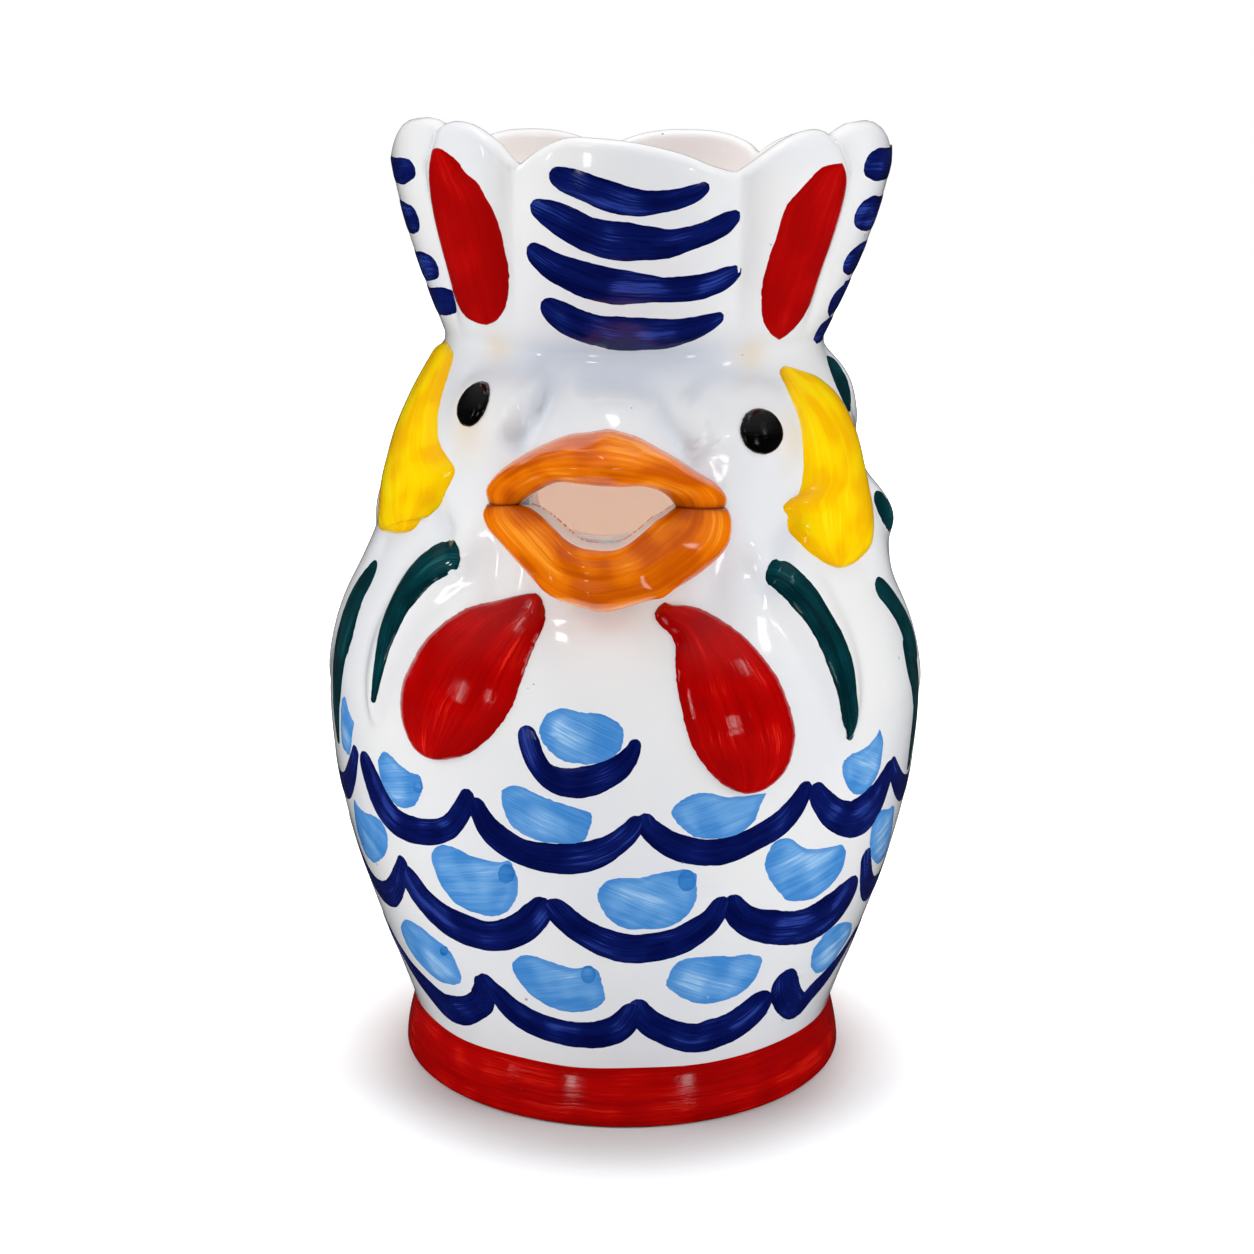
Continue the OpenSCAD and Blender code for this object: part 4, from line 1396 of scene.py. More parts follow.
@dataclass
class Beak(OnBody):
    """The two thick lips round the pouring opening."""

    corner_reach: float = 3.4
    nub_rise: float = 1.3
    rows: int = 84
    front_columns: int = 34
    lips: tuple[tuple[str, LipShape], ...] = (
        ("upper", LipShape(
            (489, 503, 486, 490, 490, 481, 500, 470, 515, 459, 530, 450, 550, 441, 570, 434, 588, 432, 600,
             430, 610, 429, 622, 432, 640, 438, 660, 449, 680, 460, 700, 473, 715, 482, 724, 491, 728, 499,
             726, 507),
            (523, 503, 530, 496, 540, 490, 550, 485, 562, 482, 580, 484, 600, 486, 620, 487, 640, 486, 655,
             489, 665, 494, 671, 500, 674, 505),
            11.2, (608, 462), 0.42, 0.6, (2.0, 0.75))),
        ("lower", LipShape(
            (489, 503, 483, 513, 485, 524, 490, 533, 500, 544, 512, 558, 530, 578, 545, 594, 560, 603, 580,
             609, 598, 614, 612, 614, 630, 609, 650, 603, 665, 600, 680, 590, 700, 577, 720, 560, 730, 547,
             733, 535, 733, 522, 730, 512, 726, 507),
            (523, 503, 532, 507, 541, 514, 548, 521, 556, 529, 566, 539, 577, 546, 590, 549, 605, 550, 615,
             549, 627, 544, 638, 536, 647, 528, 654, 521, 662, 516, 669, 510, 674, 505),
            13.4, (597, 586), 0.42, 5.5, (3.2, 0.52))))

    def build(self, palette: Palette) -> None:
        """Builds and glazes both lips."""
        for index, (name, shape) in enumerate(self.lips):
            piece = laid_grid(f"lip_{name}", self.sheet(shape, index), angle=75)
            palette.dress(piece, Glaze.ORANGE, f"beak_{name}")

    def net(self, pixels: Row, reach: float) -> Array:
        """Finds an edge of a lip on the body.

        Args:
            pixels: The edge in the photograph.
            reach: How far it stands proud at its middle.

        Returns:
            Evenly spaced turns and heights along it.
        """
        places = along_curve(np.reshape(pixels, (-1, 2)), np.linspace(0, 1, self.rows + 1))
        proud = reach * np.sin(np.linspace(0, math.pi, self.rows + 1)) ** 0.8
        return self.proud_spots(places, proud)

    def sheet(self, shape: LipShape, index: int) -> Sheet:
        """Lays one lip.

        Args:
            shape: Its edges and reach.
            index: 0 for the upper lip, 1 for the lower.

        Returns:
            One row per step from one corner of the mouth to the other, each a closed section.
        """
        f = self.form
        edge, opening = self.net(shape.edge, shape.overhang), self.net(shape.opening, 0.62 * shape.reach)
        sine = np.sin(np.linspace(0, math.pi, self.rows + 1))[:, None]
        front = np.linspace(0, 1, self.front_columns + 1) ** 1.15
        share = np.concatenate([np.zeros(3), front, front[::-1][1:], [0.0]])
        face = np.concatenate([np.zeros(3), np.ones(len(front)), np.full(len(front) - 1, -1), [0]])
        turn, z = mix(opening[:, :1], edge[:, :1], share), mix(opening[:, 1:], edge[:, 1:], share)
        out = mix(self.corner_reach, shape.reach, np.clip(sine, 0, 1) ** 1.1)
        rise = np.sqrt(np.clip(1 - (1 - share / shape.crown) ** 2, 0, 1))
        past = np.clip(share - shape.crown, 0, 1) / (1 - shape.crown)
        fall = np.clip(1 - past ** shape.fall[0], 0, 1) ** shape.fall[1]
        lip = np.where(share < shape.crown, mix(0.62, 1.0, rise), fall)
        nub_turn, nub_z = self.spots(shape.nub)[0]
        near = ((turn - nub_turn) * 1.1 / 3.4) ** 2 + ((z - nub_z) / 3.2) ** 2
        even = np.linspace(0, 1, len(turn))
        bumps = 0.35 * wobble(even, 71 + index, 9)[:, None] * lip
        facets = 0.3 * np.sin(share * 15 + 2 * index) * np.sin(even * 11)[:, None]
        top = np.maximum(0.2, out * lip) + self.nub_rise * np.exp(-near) + (bumps + facets) * sine
        top = top - 0.6 * share ** 30
        proud = np.where(face > 0, top, -1.2)
        for column, depth in enumerate((0.0, 0.4, 0.8)):
            proud[:, column] = mix(-1.2, top[:, 3], depth)
        closed = (proud[:, 3:4 + self.front_columns] - 1.2) / 2
        caps = np.concatenate([np.repeat(closed[:, :1], 3, axis=1), closed, closed[:, ::-1][:, 1:],
                               closed[:, :1]], axis=1)
        proud = np.concatenate([caps[:1], proud, caps[-1:]])
        turn, z = (np.concatenate([part[:1], part, part[-1:]]) for part in (turn, z))
        points = f.place(turn, f.outer_r(turn, z, relief=False) + proud, z)
        along = np.concatenate([[0], even, [1]])[:, None]
        brush = np.stack(np.broadcast_arrays(along * 6, share * 1.9 + 3 * (face < 1)), axis=-1)
        bare = np.zeros(len(share))
        bare[:5] = 1, 1, 1, 0.7, 0.1
        # Painted shade in the mouth: darkest at the corners and along the opening's edge near them
        corner = np.exp(-along * (1 - along) / 0.05)
        crease = np.maximum(np.exp(-along * (1 - along) / 0.01), corner * np.exp(-(share / 0.3) ** 2))
        values = {"bare": bare, "rim": 0.1, "crease": crease, "tone": 0.3 if index else 0.6}
        return Sheet(points, brush, values)


@dataclass
class Face(OnBody):
    """The eyes, cheeks and wattles."""

    eye_sizes: tuple[Place, Place] = ((10.4, 10.4), (12.2, 10.4))
    cheeks: tuple[tuple[Row, Row], ...] = (
        ((447, 341, 436, 350, 423, 364, 412, 384, 402, 405, 392, 430, 384, 455, 379, 480, 377, 498, 379,
          515, 386, 527, 395, 532, 404, 533),
         (447, 341, 453, 352, 452, 362, 443, 392, 439, 410, 438, 436, 442, 448, 451, 462, 455, 471, 451,
          482, 444, 496, 436, 510, 428, 517, 422, 518, 417, 526, 411, 531, 404, 533)),
        ((784, 366, 780, 371, 783, 381, 790, 396, 797, 413, 801, 430, 803, 450, 803, 473, 799, 493, 790,
          499, 783, 507, 787, 516, 788, 530, 796, 540, 806, 550, 818, 559, 829, 565, 838, 568),
         (784, 366, 796, 370, 810, 378, 826, 388, 838, 402, 850, 420, 859, 443, 866, 470, 869, 490, 869,
          510, 866, 532, 861, 548, 855, 560, 848, 566, 838, 568)))
    wattles: tuple[tuple[Row, Row], ...] = (
        ((536, 593, 524, 594, 507, 598, 490, 602, 470, 607, 453, 616, 438, 627, 422, 644, 409, 667, 402,
          685, 400, 705, 403, 725, 410, 742, 420, 753, 435, 760),
         (536, 593, 542, 600, 545, 620, 538, 638, 529, 660, 521, 683, 511, 708, 499, 727, 486, 741, 468,
          754, 450, 759, 435, 760)),
        ((665, 602, 658, 607, 655, 616, 661, 626, 670, 634, 675, 648, 676, 680, 682, 710, 690, 741, 702,
          762, 714, 777, 728, 788, 745, 794),
         (665, 602, 673, 605, 690, 606, 712, 614, 737, 631, 757, 650, 777, 677, 788, 702, 795, 728, 794,
          748, 788, 767, 777, 781, 763, 790, 745, 794)))

    def build(self, palette: Palette) -> None:
        """Builds and glazes the features on both sides.

        Args:
            palette: The glazes.
        """
        for side, size, cheek, wattle in zip(Side, self.eye_sizes, self.cheeks, self.wattles):
            self.eye(side, size, palette)
            self.feature("cheek", side, cheek, Glaze.YELLOW, palette)
            self.feature("wattle", side, wattle, Glaze.CRIMSON, palette)

    def eye(self, side: Side, size: Place, palette: Palette) -> None:
        """Builds a rounded black eye.

        Args:
            side: The viewer's side.
            size: Its width and height.
            palette: The glazes.
        """
        f = self.form
        turn, z = side.value * f.eye_turn - 1.5, f.eye_z - side.value * f.eye_skew
        width, height = size
        scale = DEGREE * float(f.outer_r(turn, z))
        angles = np.arange(16) * math.pi / 8
        outline = np.stack([turn + width / 2 / scale * np.cos(angles), z + height / 2 * np.sin(angles)], 1)
        patch = Patch(outline, seed=3 + side.value, rise=0.25, dome=1.45, ragged=0.07, sides=72,
                      spacing=0.45)
        palette.dress(self.laid(f"glazed_eye_{side.word}", patch), Glaze.BLACK, f"eye_{side.word}")

    def feature(self, kind: str, side: Side, edges: tuple[Row, Row], glaze: Glaze,
                palette: Palette) -> None:
        """Builds one raised and coloured feature.

        Args:
            kind: The kind that its node is named for.
            side: Its side.
            edges: Its left and right edges in the photograph, from its top to its bottom.
            glaze: Its glaze.
            palette: The glazes.
        """
        left, right = map(self.spots, edges)
        if kind == "cheek":
            left, right = ((calmed(left, right, 86.0), right) if side is Side.LEFT
                           else (left, calmed(right, left, 86.0)))
        leaf = Leaf((left, right), seed=len(kind) + 5 * side.value, dome=3.2)
        node = f"{kind}_{side.word}"
        palette.dress(self.laid(f"glazed_{node}", leaf), glaze, node)


@dataclass
class Feathers(OnBody):
    """The green feather strokes."""

    read: dict[tuple[str, Side], Row] = field(default_factory=lambda: {
        ("front", Side.LEFT): (462, 556, 13, 450, 557, 17, 430, 568, 16.5, 408, 592, 14, 393, 620, 10.5,
            382, 655, 7.5, 376, 685, 5, 373, 703, 2.5),
        ("wing", Side.LEFT): (376, 560, 5, 370, 575, 9, 360, 594, 12, 350, 620, 11, 342, 650, 8, 338, 680,
            6, 337, 712, 4, 339, 744, 2),
        ("ear", Side.RIGHT): (832, 358, 3, 836, 368, 6, 841, 381, 8, 846, 394, 8, 851, 405, 5),
        ("shoulder", Side.RIGHT): (880, 492, 6, 881, 503, 8, 886, 514, 8, 892, 526, 5),
        ("front", Side.RIGHT): (765, 572, 12, 779, 575, 16, 795, 588, 16.5, 812, 608, 14.5, 829, 636, 14,
            841, 666, 13, 848, 700, 10, 850, 728, 7, 850, 741, 4),
        ("wing", Side.RIGHT): (875, 584, 9, 885, 594, 11, 897, 611, 10, 907, 634, 8, 912, 664, 6, 914, 700,
            5, 911, 738, 3.5, 907, 770, 2)})

    def build(self, palette: Palette) -> None:
        """Builds and glazes every feather.

        Args:
            palette: The glazes.
        """
        for index, ridge in enumerate(FEATHERS):
            for side in Side:
                stroke = self.stroke(ridge, side, 11 + 4 * index + side.value)
                node = f"feather_{ridge.name}_{side.word}"
                palette.dress(self.laid(f"glazed_{node}", stroke), Glaze.GREEN, node)

    def stroke(self, ridge: Ridge, side: Side, seed: int) -> Stroke:
        """Returns a feather's stroke, read from the photograph or laid along the raised clay.

        Args:
            ridge: The feather's ridge.
            side: The viewer's side.
            seed: Seed of its uneven edge.

        Returns:
            The stroke.
        """
        if (ridge.name, side) in self.read:
            spots, halves = self.brushed(self.read[ridge.name, side])
        else:
            turn, share, half = np.array(ridge.line, float).T
            hidden = 10 if ridge.name in ("ear", "shoulder") and side is Side.LEFT else 0
            spots = np.stack([side.value * (turn + hidden), self.form.ridge_z(share)], axis=1)
            halves = list(half * ridge.width * 0.95)
        return Stroke(spots, halves, seed, rise=0.35, sink=0.45, ragged=0.04, steps=72, columns=14)


@dataclass
class ScalePaint(OnBody):
    """The navy scales of the belly, each with its sky-blue wash."""

    arcs: tuple[Row, ...] = (
        (362, 751, 5, 371, 777, 7.5, 381, 801, 9.5, 393, 818, 11.5, 408, 828, 13, 428, 832, 14, 447, 828,
         13.5, 459, 815, 11.5, 466, 800, 10, 469, 789, 7),
        (473, 797, 8, 479, 811, 9.5, 489, 828, 12, 503, 841, 12.5, 520, 851, 13, 541, 857, 14.5, 562, 859,
         15.5, 585, 857, 15.5, 605, 850, 14.5, 622, 839, 12, 633, 828, 10.5, 640, 816, 8),
        (644, 813, 8, 648, 826, 11.5, 661, 838, 13, 677, 847, 14, 697, 852, 13.5, 718, 852, 13.5, 740, 846,
         12.5, 760, 836, 11.5, 778, 825, 11.5, 792, 811, 10.5, 801, 797, 8.5, 809, 781, 6),
        (813, 784, 8, 818, 795, 11.5, 826, 806, 14.5, 835, 814, 17, 848, 818, 18, 862, 813, 16.5, 873, 802,
         13, 881, 788, 9, 887, 773, 6, 890, 760, 3.5),
        (405, 864, 6.5, 410, 877, 8.5, 419, 893, 9.5, 432, 908, 11, 448, 921, 13, 467, 930, 14, 488, 936,
         14.5, 508, 934, 16, 525, 925, 16.5, 538, 912, 15, 546, 898, 10),
        (549, 899, 9, 559, 912, 12, 573, 925, 13, 590, 936, 13.5, 609, 944, 14.5, 631, 949, 14.5, 655, 947,
         14.5, 676, 942, 14, 695, 932, 13.5, 710, 920, 12.5, 719, 907, 10, 724, 896, 8),
        (730, 895, 9.5, 734, 908, 14, 745, 919, 16.5, 762, 925, 18, 783, 928, 17, 804, 925, 16, 822, 916,
         15, 837, 904, 12, 847, 890, 9.5, 855, 875, 6.5),
        (482, 973, 6, 489, 985, 7.5, 500, 996, 9.5, 513, 1010, 11, 530, 1021, 11.5, 550, 1029, 12, 572,
         1034, 12.5, 596, 1035, 13.5, 616, 1029, 14, 628, 1017, 12.5, 635, 1003, 9),
        (636, 999, 8.5, 641, 1012, 12.5, 652, 1024, 14, 670, 1033, 14, 692, 1038, 14, 712, 1034, 14.5, 732,
         1026, 13.5, 748, 1015, 13, 760, 1003, 12, 771, 993, 11),
        (525, 725, 8, 528, 739, 10.5, 534, 757, 10.5, 543, 771, 11, 556, 780, 13.5, 572, 783, 15, 590, 781,
         15.5, 608, 774, 14, 622, 765, 12.5, 632, 752, 9, 637, 739, 5.5))
    turning_arcs: tuple[tuple[Row, Row], ...] = (
        ((448, 1007, 14, 465, 1010, 16.5, 480, 1003, 15, 484, 990, 11, 479, 975, 6),
         (-69, 40.5, 1.6, -65, 35.5, 2.6, -59, 30.5, 3.4, -53, 27.6, 4.0)),
        ((785, 970, 10, 784, 986, 13.5, 789, 1000, 16.5, 799, 1006, 15.5),
         (57, 28.2, 3.9, 63, 31.2, 3.3, 69, 35.5, 2.6, 74, 40.5, 1.7)))
    rear: tuple[tuple[Mark, Mark, float, int], ...] = (
        ((63.0, 92.4, 0), (304.2, 94.9, 0), 79.0, 8), ((59.1, 69.2, 0), (316.4, 69.4, 0), 52.8, 8),
        ((75.0, 42.0, 0), (291.0, 42.0, 0), 26.0, 6))
    rear_widths: tuple[float, ...] = (2.3, 3.0, 3.5, 3.7, 3.5, 2.9, 1.9)
    washes: tuple[Row, ...] = (
        (342, 700, 345, 697, 348, 708, 352, 718, 354, 724, 352, 736, 351, 748, 349, 755, 346, 752, 342, 743,
         341, 720),
        (378, 762, 380, 756, 385, 752, 391, 756, 400, 765, 410, 772, 420, 776, 423, 787, 420, 795, 417, 803,
         409, 808, 402, 808, 394, 803, 387, 793, 381, 780),
        (501, 793, 505, 788, 515, 785, 525, 788, 535, 793, 548, 799, 560, 803, 575, 808, 588, 812, 592, 817,
         590, 828, 586, 838, 577, 844, 565, 844, 545, 842, 530, 838, 517, 830, 508, 820, 503, 808),
        (672, 811, 677, 804, 686, 798, 697, 793, 710, 793, 725, 796, 745, 796, 760, 794, 766, 794, 762, 802,
         758, 812, 755, 820, 745, 830, 735, 836, 718, 839, 700, 838, 690, 834, 680, 826, 675, 820),
        (842, 768, 845, 760, 852, 754, 862, 750, 870, 744, 877, 735, 880, 730, 883, 742, 882, 755, 880, 768,
         875, 780, 868, 790, 858, 795, 850, 790, 844, 780),
        (870, 838, 872, 825, 876, 815, 881, 810, 888, 809, 894, 806, 893, 820, 891, 835, 887, 850, 882, 860,
         877, 864, 872, 858, 870, 848),
        (354, 800, 358, 806, 364, 812, 372, 815, 380, 820, 386, 830, 388, 842, 386, 853, 380, 860, 374, 863,
         367, 856, 362, 845, 358, 833, 355, 818),
        (431, 858, 434, 850, 440, 845, 450, 846, 460, 850, 470, 855, 485, 860, 500, 862, 509, 861, 514, 869,
         518, 880, 517, 895, 512, 905, 504, 913, 493, 916, 480, 914, 465, 909, 452, 900, 441, 885, 435,
         872),
        (597, 896, 601, 886, 609, 880, 622, 878, 640, 877, 655, 874, 672, 871, 688, 870, 696, 875, 697, 888,
         696, 900, 690, 912, 680, 921, 665, 928, 645, 929, 625, 928, 610, 920, 603, 910),
        (765, 862, 769, 850, 776, 841, 785, 838, 793, 840, 800, 846, 810, 849, 825, 848, 835, 846, 842, 845,
         846, 852, 844, 864, 838, 877, 828, 888, 815, 898, 800, 901, 788, 900, 778, 891, 770, 880, 766,
         870),
        (401, 929, 403, 921, 408, 920, 418, 925, 430, 935, 443, 945, 451, 953, 457, 965, 462, 978, 458, 984,
         448, 984, 436, 979, 424, 968, 413, 955, 406, 943),
        (512, 968, 516, 959, 524, 955, 535, 956, 545, 960, 558, 964, 570, 968, 580, 968, 588, 966, 597, 970,
         601, 978, 603, 988, 605, 998, 600, 1006, 590, 1010, 575, 1012, 560, 1010, 545, 1004, 530, 994, 518,
         980),
        (667, 982, 670, 973, 676, 964, 685, 959, 700, 957, 720, 956, 735, 956, 748, 954, 762, 958, 760, 968,
         756, 978, 747, 988, 737, 995, 722, 1001, 705, 1004, 692, 1002, 678, 995, 668, 988),
        (811, 962, 813, 950, 820, 940, 828, 930, 838, 924, 848, 922, 852, 925, 850, 934, 845, 943, 839, 952,
         832, 963, 825, 970, 817, 973, 812, 968),
        (539, 728, 545, 716, 553, 710, 563, 708, 573, 710, 583, 713, 600, 714, 613, 720, 622, 727, 623, 740,
         620, 750, 612, 758, 600, 763, 585, 764, 570, 762, 557, 758, 547, 748, 541, 738))
    pools: tuple[Mark, ...] = ((506, 874, 9), (686, 881, 9.5), (588, 975, 8), (418, 787, 5), (444, 951, 4.5))
    rear_outline: tuple[Place, ...] = (
        (0, 0.35), (0.12, 0.08), (0.4, 0), (0.7, 0.05), (0.95, 0.15), (1, 0.45), (0.96, 0.8), (0.8, 1),
        (0.5, 1), (0.2, 0.85), (0.05, 0.6))

    def build(self, palette: Palette) -> None:
        """Paints the scales and washes.

        Args:
            palette: The glazes.
        """
        strokes = [self.brushed(marks) for marks in self.arcs]
        strokes += [self.turning(*parts) for parts in self.turning_arcs]
        washes = [self.spots(pixels) for pixels in self.washes]
        chance = np.random.default_rng(20)
        for start, end, low, count in self.rear:
            turns = np.linspace(start[0], end[0], count + 1)
            levels = np.concatenate([[start[1]], np.full(count - 1, (start[1] + end[1]) / 2), [end[1]]])
            levels[1:-1] += chance.uniform(-1, 1, count - 1)
            for k in range(count):
                bottom = ((turns[k] + turns[k + 1]) / 2 + chance.uniform(-1.5, 1.5),
                          low + chance.uniform(-1, 1))
                strokes.append(self.rear_arc((turns[k], levels[k]), bottom, (turns[k + 1], levels[k + 1])))
                if 88 < bottom[0] < 272:
                    washes.append(self.rear_wash(bottom))
        arcs = [self.laid("arc", Stroke(*stroke, 200 + index, rise=0.16 + 0.03 * (index % 2), ragged=0.035,
                                        steps=64, columns=10)) for index, stroke in enumerate(strokes)]
        blobs = [self.laid("wash", Patch(outline, 300 + index, rise=0.1, ragged=0.16,
                                         brush_angle=(-24, 14)[index % 2]))
                 for index, outline in enumerate(washes)]
        palette.dress(joined("sky_washes", blobs), Glaze.SKY)
        palette.dress(joined("scale_arcs", arcs), Glaze.NAVY)
        palette.dress(joined("sky_pools", [self.pool(mark, index) for index, mark in enumerate(self.pools)]),
                      Glaze.DEEP_SKY)

    def turning(self, read: Row, hidden: Row) -> tuple[Array, list[float]]:
        """Returns an arc that turns out of the photograph's sight, on the left with its hidden part first.

        Args:
            read: Its marks in the photograph.
            hidden: Turn, height and half width of each hidden place.

        Returns:
            Its centre line and its half widths.
        """
        unseen = np.reshape(hidden, (-1, 3))
        parts = [self.brushed(read), (unseen[:, :2], list(unseen[:, 2]))]
        if unseen[0, 0] < 0:
            parts.reverse()
        return np.concatenate([part[0] for part in parts]), parts[0][1] + parts[1][1]

    def rear_arc(self, start: Place, bottom: Place, end: Place) -> tuple[Array, list[float]]:
        """Draws an arc that the photograph doesn't show.

        Args:
            start: Turn and height of its first cusp.
            bottom: Turn and height of its lowest point.
            end: Turn and height of its last cusp.

        Returns:
            Its centre line and half widths.
        """
        share = np.linspace(0, 1, 13)
        middle = 2 * bottom[0] - (start[0] + end[0]) / 2
        turn = start[0] * (1 - share) ** 2 + 2 * middle * share * (1 - share) + end[0] * share ** 2
        depth = (start[1] + end[1]) / 2 - bottom[1]
        z = mix(start[1], end[1], share) - depth * (1 - np.abs(2 * share - 1) ** 2.3)
        return np.stack([turn, z], axis=1), list(self.rear_widths)

    def rear_wash(self, bottom: Place) -> Array:
        """Returns the outline of a wash in a scale that the photograph doesn't show."""
        scale = DEGREE * float(self.form.body_r(bottom[1] + 9.5))
        return np.array([(bottom[0] + (x - 0.5) * 20 / scale, bottom[1] + 9.5 - (y - 0.5) * 12)
                         for x, y in self.rear_outline])

    def pool(self, mark: Mark, index: int) -> Piece:
        """Paints the small dark ring where the brush was lifted from a wash.

        Args:
            mark: Its middle and radius in the photograph.
            index: Its number, for its seed.

        Returns:
            The painted ring.
        """
        angles = np.linspace(0, 2 * math.pi, 11)[:-1]
        pixels = [(mark[0] + mark[2] * math.cos(a), mark[1] + 1.2 * mark[2] * math.sin(a)) for a in angles]
        outline = self.spots(pixels)
        return self.laid("pool", Patch(outline, 90 + index, rise=0.14, ragged=0.08, sides=40, spacing=0.5))


@dataclass
class CrestPaint(OnBody):
    """The navy bars and red ovals of the crest's petals."""

    front_bars: tuple[Row, ...] = (
        (549, 173, 7.6, 563, 179, 12, 577, 184, 13.8, 594, 191, 14.5, 611, 197, 15.2, 627, 201, 15, 642,
         203, 14.1, 657, 202, 12.5, 673, 200, 11, 688, 196, 10, 701, 190, 8.5, 709, 184, 5),
        (530, 205, 7, 543, 211, 12.5, 559, 219, 16, 574, 227, 17.5, 590, 235, 18, 609, 240, 19, 628, 242,
         19.5, 647, 243, 17.5, 666, 244, 15.5, 684, 240, 13, 701, 235, 11.5, 717, 228, 11, 732, 219, 9.5,
         740, 212, 5),
        (527, 247, 8, 541, 258, 12, 556, 268, 14.5, 573, 275, 16.5, 590, 281, 18, 611, 286, 18, 632, 288,
         17.5, 649, 289, 15, 666, 290, 12.7, 685, 289, 12.7, 704, 286, 12.7, 719, 281, 11.5, 732, 275, 9.6,
         742, 269, 6),
        (541, 302, 8, 555, 312, 12.5, 570, 321, 15, 587, 328, 15.3, 604, 332, 15.5, 622, 334, 17, 639, 334,
         17, 656, 334, 16, 673, 333, 15, 688, 330, 13, 701, 326, 11, 713, 321, 8.5, 724, 315, 5))
    side_bars: tuple[tuple[Row, float], ...] = (
        ((415, 168, 9, 410, 169, 12, 404, 170, 14, 399, 171, 15), -108.0),
        ((419, 218, 12, 415, 218, 16, 411, 218, 17), -110.0),
        ((439, 268, 10, 434, 267, 13.5, 428, 266, 14.5, 424, 266, 14.5), -110.0),
        ((455, 302, 10, 450, 301, 13, 444, 301, 15, 438, 301, 14), -108.0),
        ((864, 164, 11, 869, 164, 15, 876, 164, 17.5, 884, 164, 17.5), 108.0),
        ((854, 215, 11, 859, 214, 16, 866, 213, 18, 872, 213, 17), 109.0),
        ((843, 262, 9, 848, 260, 13.5, 854, 259, 15), 109.0),
        ((829, 301, 9, 834, 300, 13, 839, 299, 14), 106.0),
        ((815, 333, 8, 819, 332, 11), 100.0))
    rear_bars: tuple[tuple[float, float, float, float], ...] = (
        (155.0, 187.0, 236.5, 3.8), (154.0, 188.0, 225.5, 4.0), (155.0, 187.0, 214.8, 3.7),
        (157.0, 185.0, 205.2, 3.4))
    ovals: tuple[tuple[Row, Row], ...] = (
        ((436, 148, 431, 151, 429, 161, 430, 180, 434, 205, 439, 235, 443, 260, 449, 280, 457, 298, 466,
          312, 477, 322, 487, 325),
         (436, 148, 441, 149, 450, 155, 458, 162, 466, 173, 477, 182, 485, 196, 494, 212, 501, 232, 506,
          255, 509, 275, 509, 290, 505, 308, 497, 320, 487, 325)),
        ((842, 163, 830, 165, 820, 169, 808, 181, 797, 193, 787, 205, 781, 220, 776, 238, 769, 257, 763,
          281, 761, 301, 763, 320, 770, 333, 779, 340),
         (842, 163, 845, 172, 846, 185, 843, 205, 838, 222, 832, 245, 825, 268, 817, 288, 808, 305, 798,
          323, 788, 334, 779, 340)))
    rear_ovals: tuple[tuple[float, float, float, float], ...] = (
        (133, 222.0, 6.6, 18.5), (214, 221.0, 8.0, 18.0))

    def build(self, palette: Palette) -> None:
        """Paints the petals.

        Args:
            palette: The glazes.
        """
        strokes = [self.brushed(marks) for marks in self.front_bars]
        for marks, end in self.side_bars:
            spots, halves = self.brushed(marks)
            tail = np.linspace(0.35, 1, 4)
            turns, half = mix(spots[-1, 0], end, tail), float(np.mean(halves[1:]))
            spots = np.concatenate([spots, np.stack([turns, spots[-1, 1] + 1.4 * tail * (1 - tail)], axis=1)])
            strokes.append((spots, [halves[0], *([half] * len(halves[1:])), half, half * 0.95, half * 0.85,
                                    half * 0.65]))
        for start, end, z, half in self.rear_bars:
            share = np.linspace(0, 1, 9)
            sag = 3.0 * np.sin(share * math.pi) - 1.2
            strokes.append((np.stack([mix(start, end, share), z - sag], axis=1),
                            [half * k for k in (0.8, 1.0, 1.05, 0.95, 0.8, 0.6)]))
        bars = [self.laid("bar", Stroke(*stroke, 31 + index, rise=0.18, ragged=0.035))
                for index, stroke in enumerate(strokes)]
        palette.dress(joined("crest_bars", bars), Glaze.NAVY)
        reds = []
        for index, edges in enumerate(self.ovals):
            left, right = map(self.spots, edges)
            left, right = (left, calmed(right, left)) if index else (calmed(left, right), right)
            reds.append(self.laid("oval", Leaf((left, right), 9 + index, ragged=0.1)))
        for index, (turn, z, wide, tall) in enumerate(self.rear_ovals):
            angles = np.linspace(0, 2 * math.pi, 17)[:-1]
            reach = wide / (DEGREE * 57)
            outline = np.stack([turn + reach * np.cos(angles) * (1 + 0.25 * np.sin(angles)),
                                z + tall * np.sin(angles)], axis=1)
            reds.append(self.laid("oval", Patch(outline, 19 + index, rise=0.18, ragged=0.12, brush_angle=85)))
        palette.dress(joined("crest_ovals", reds), Glaze.OVAL)


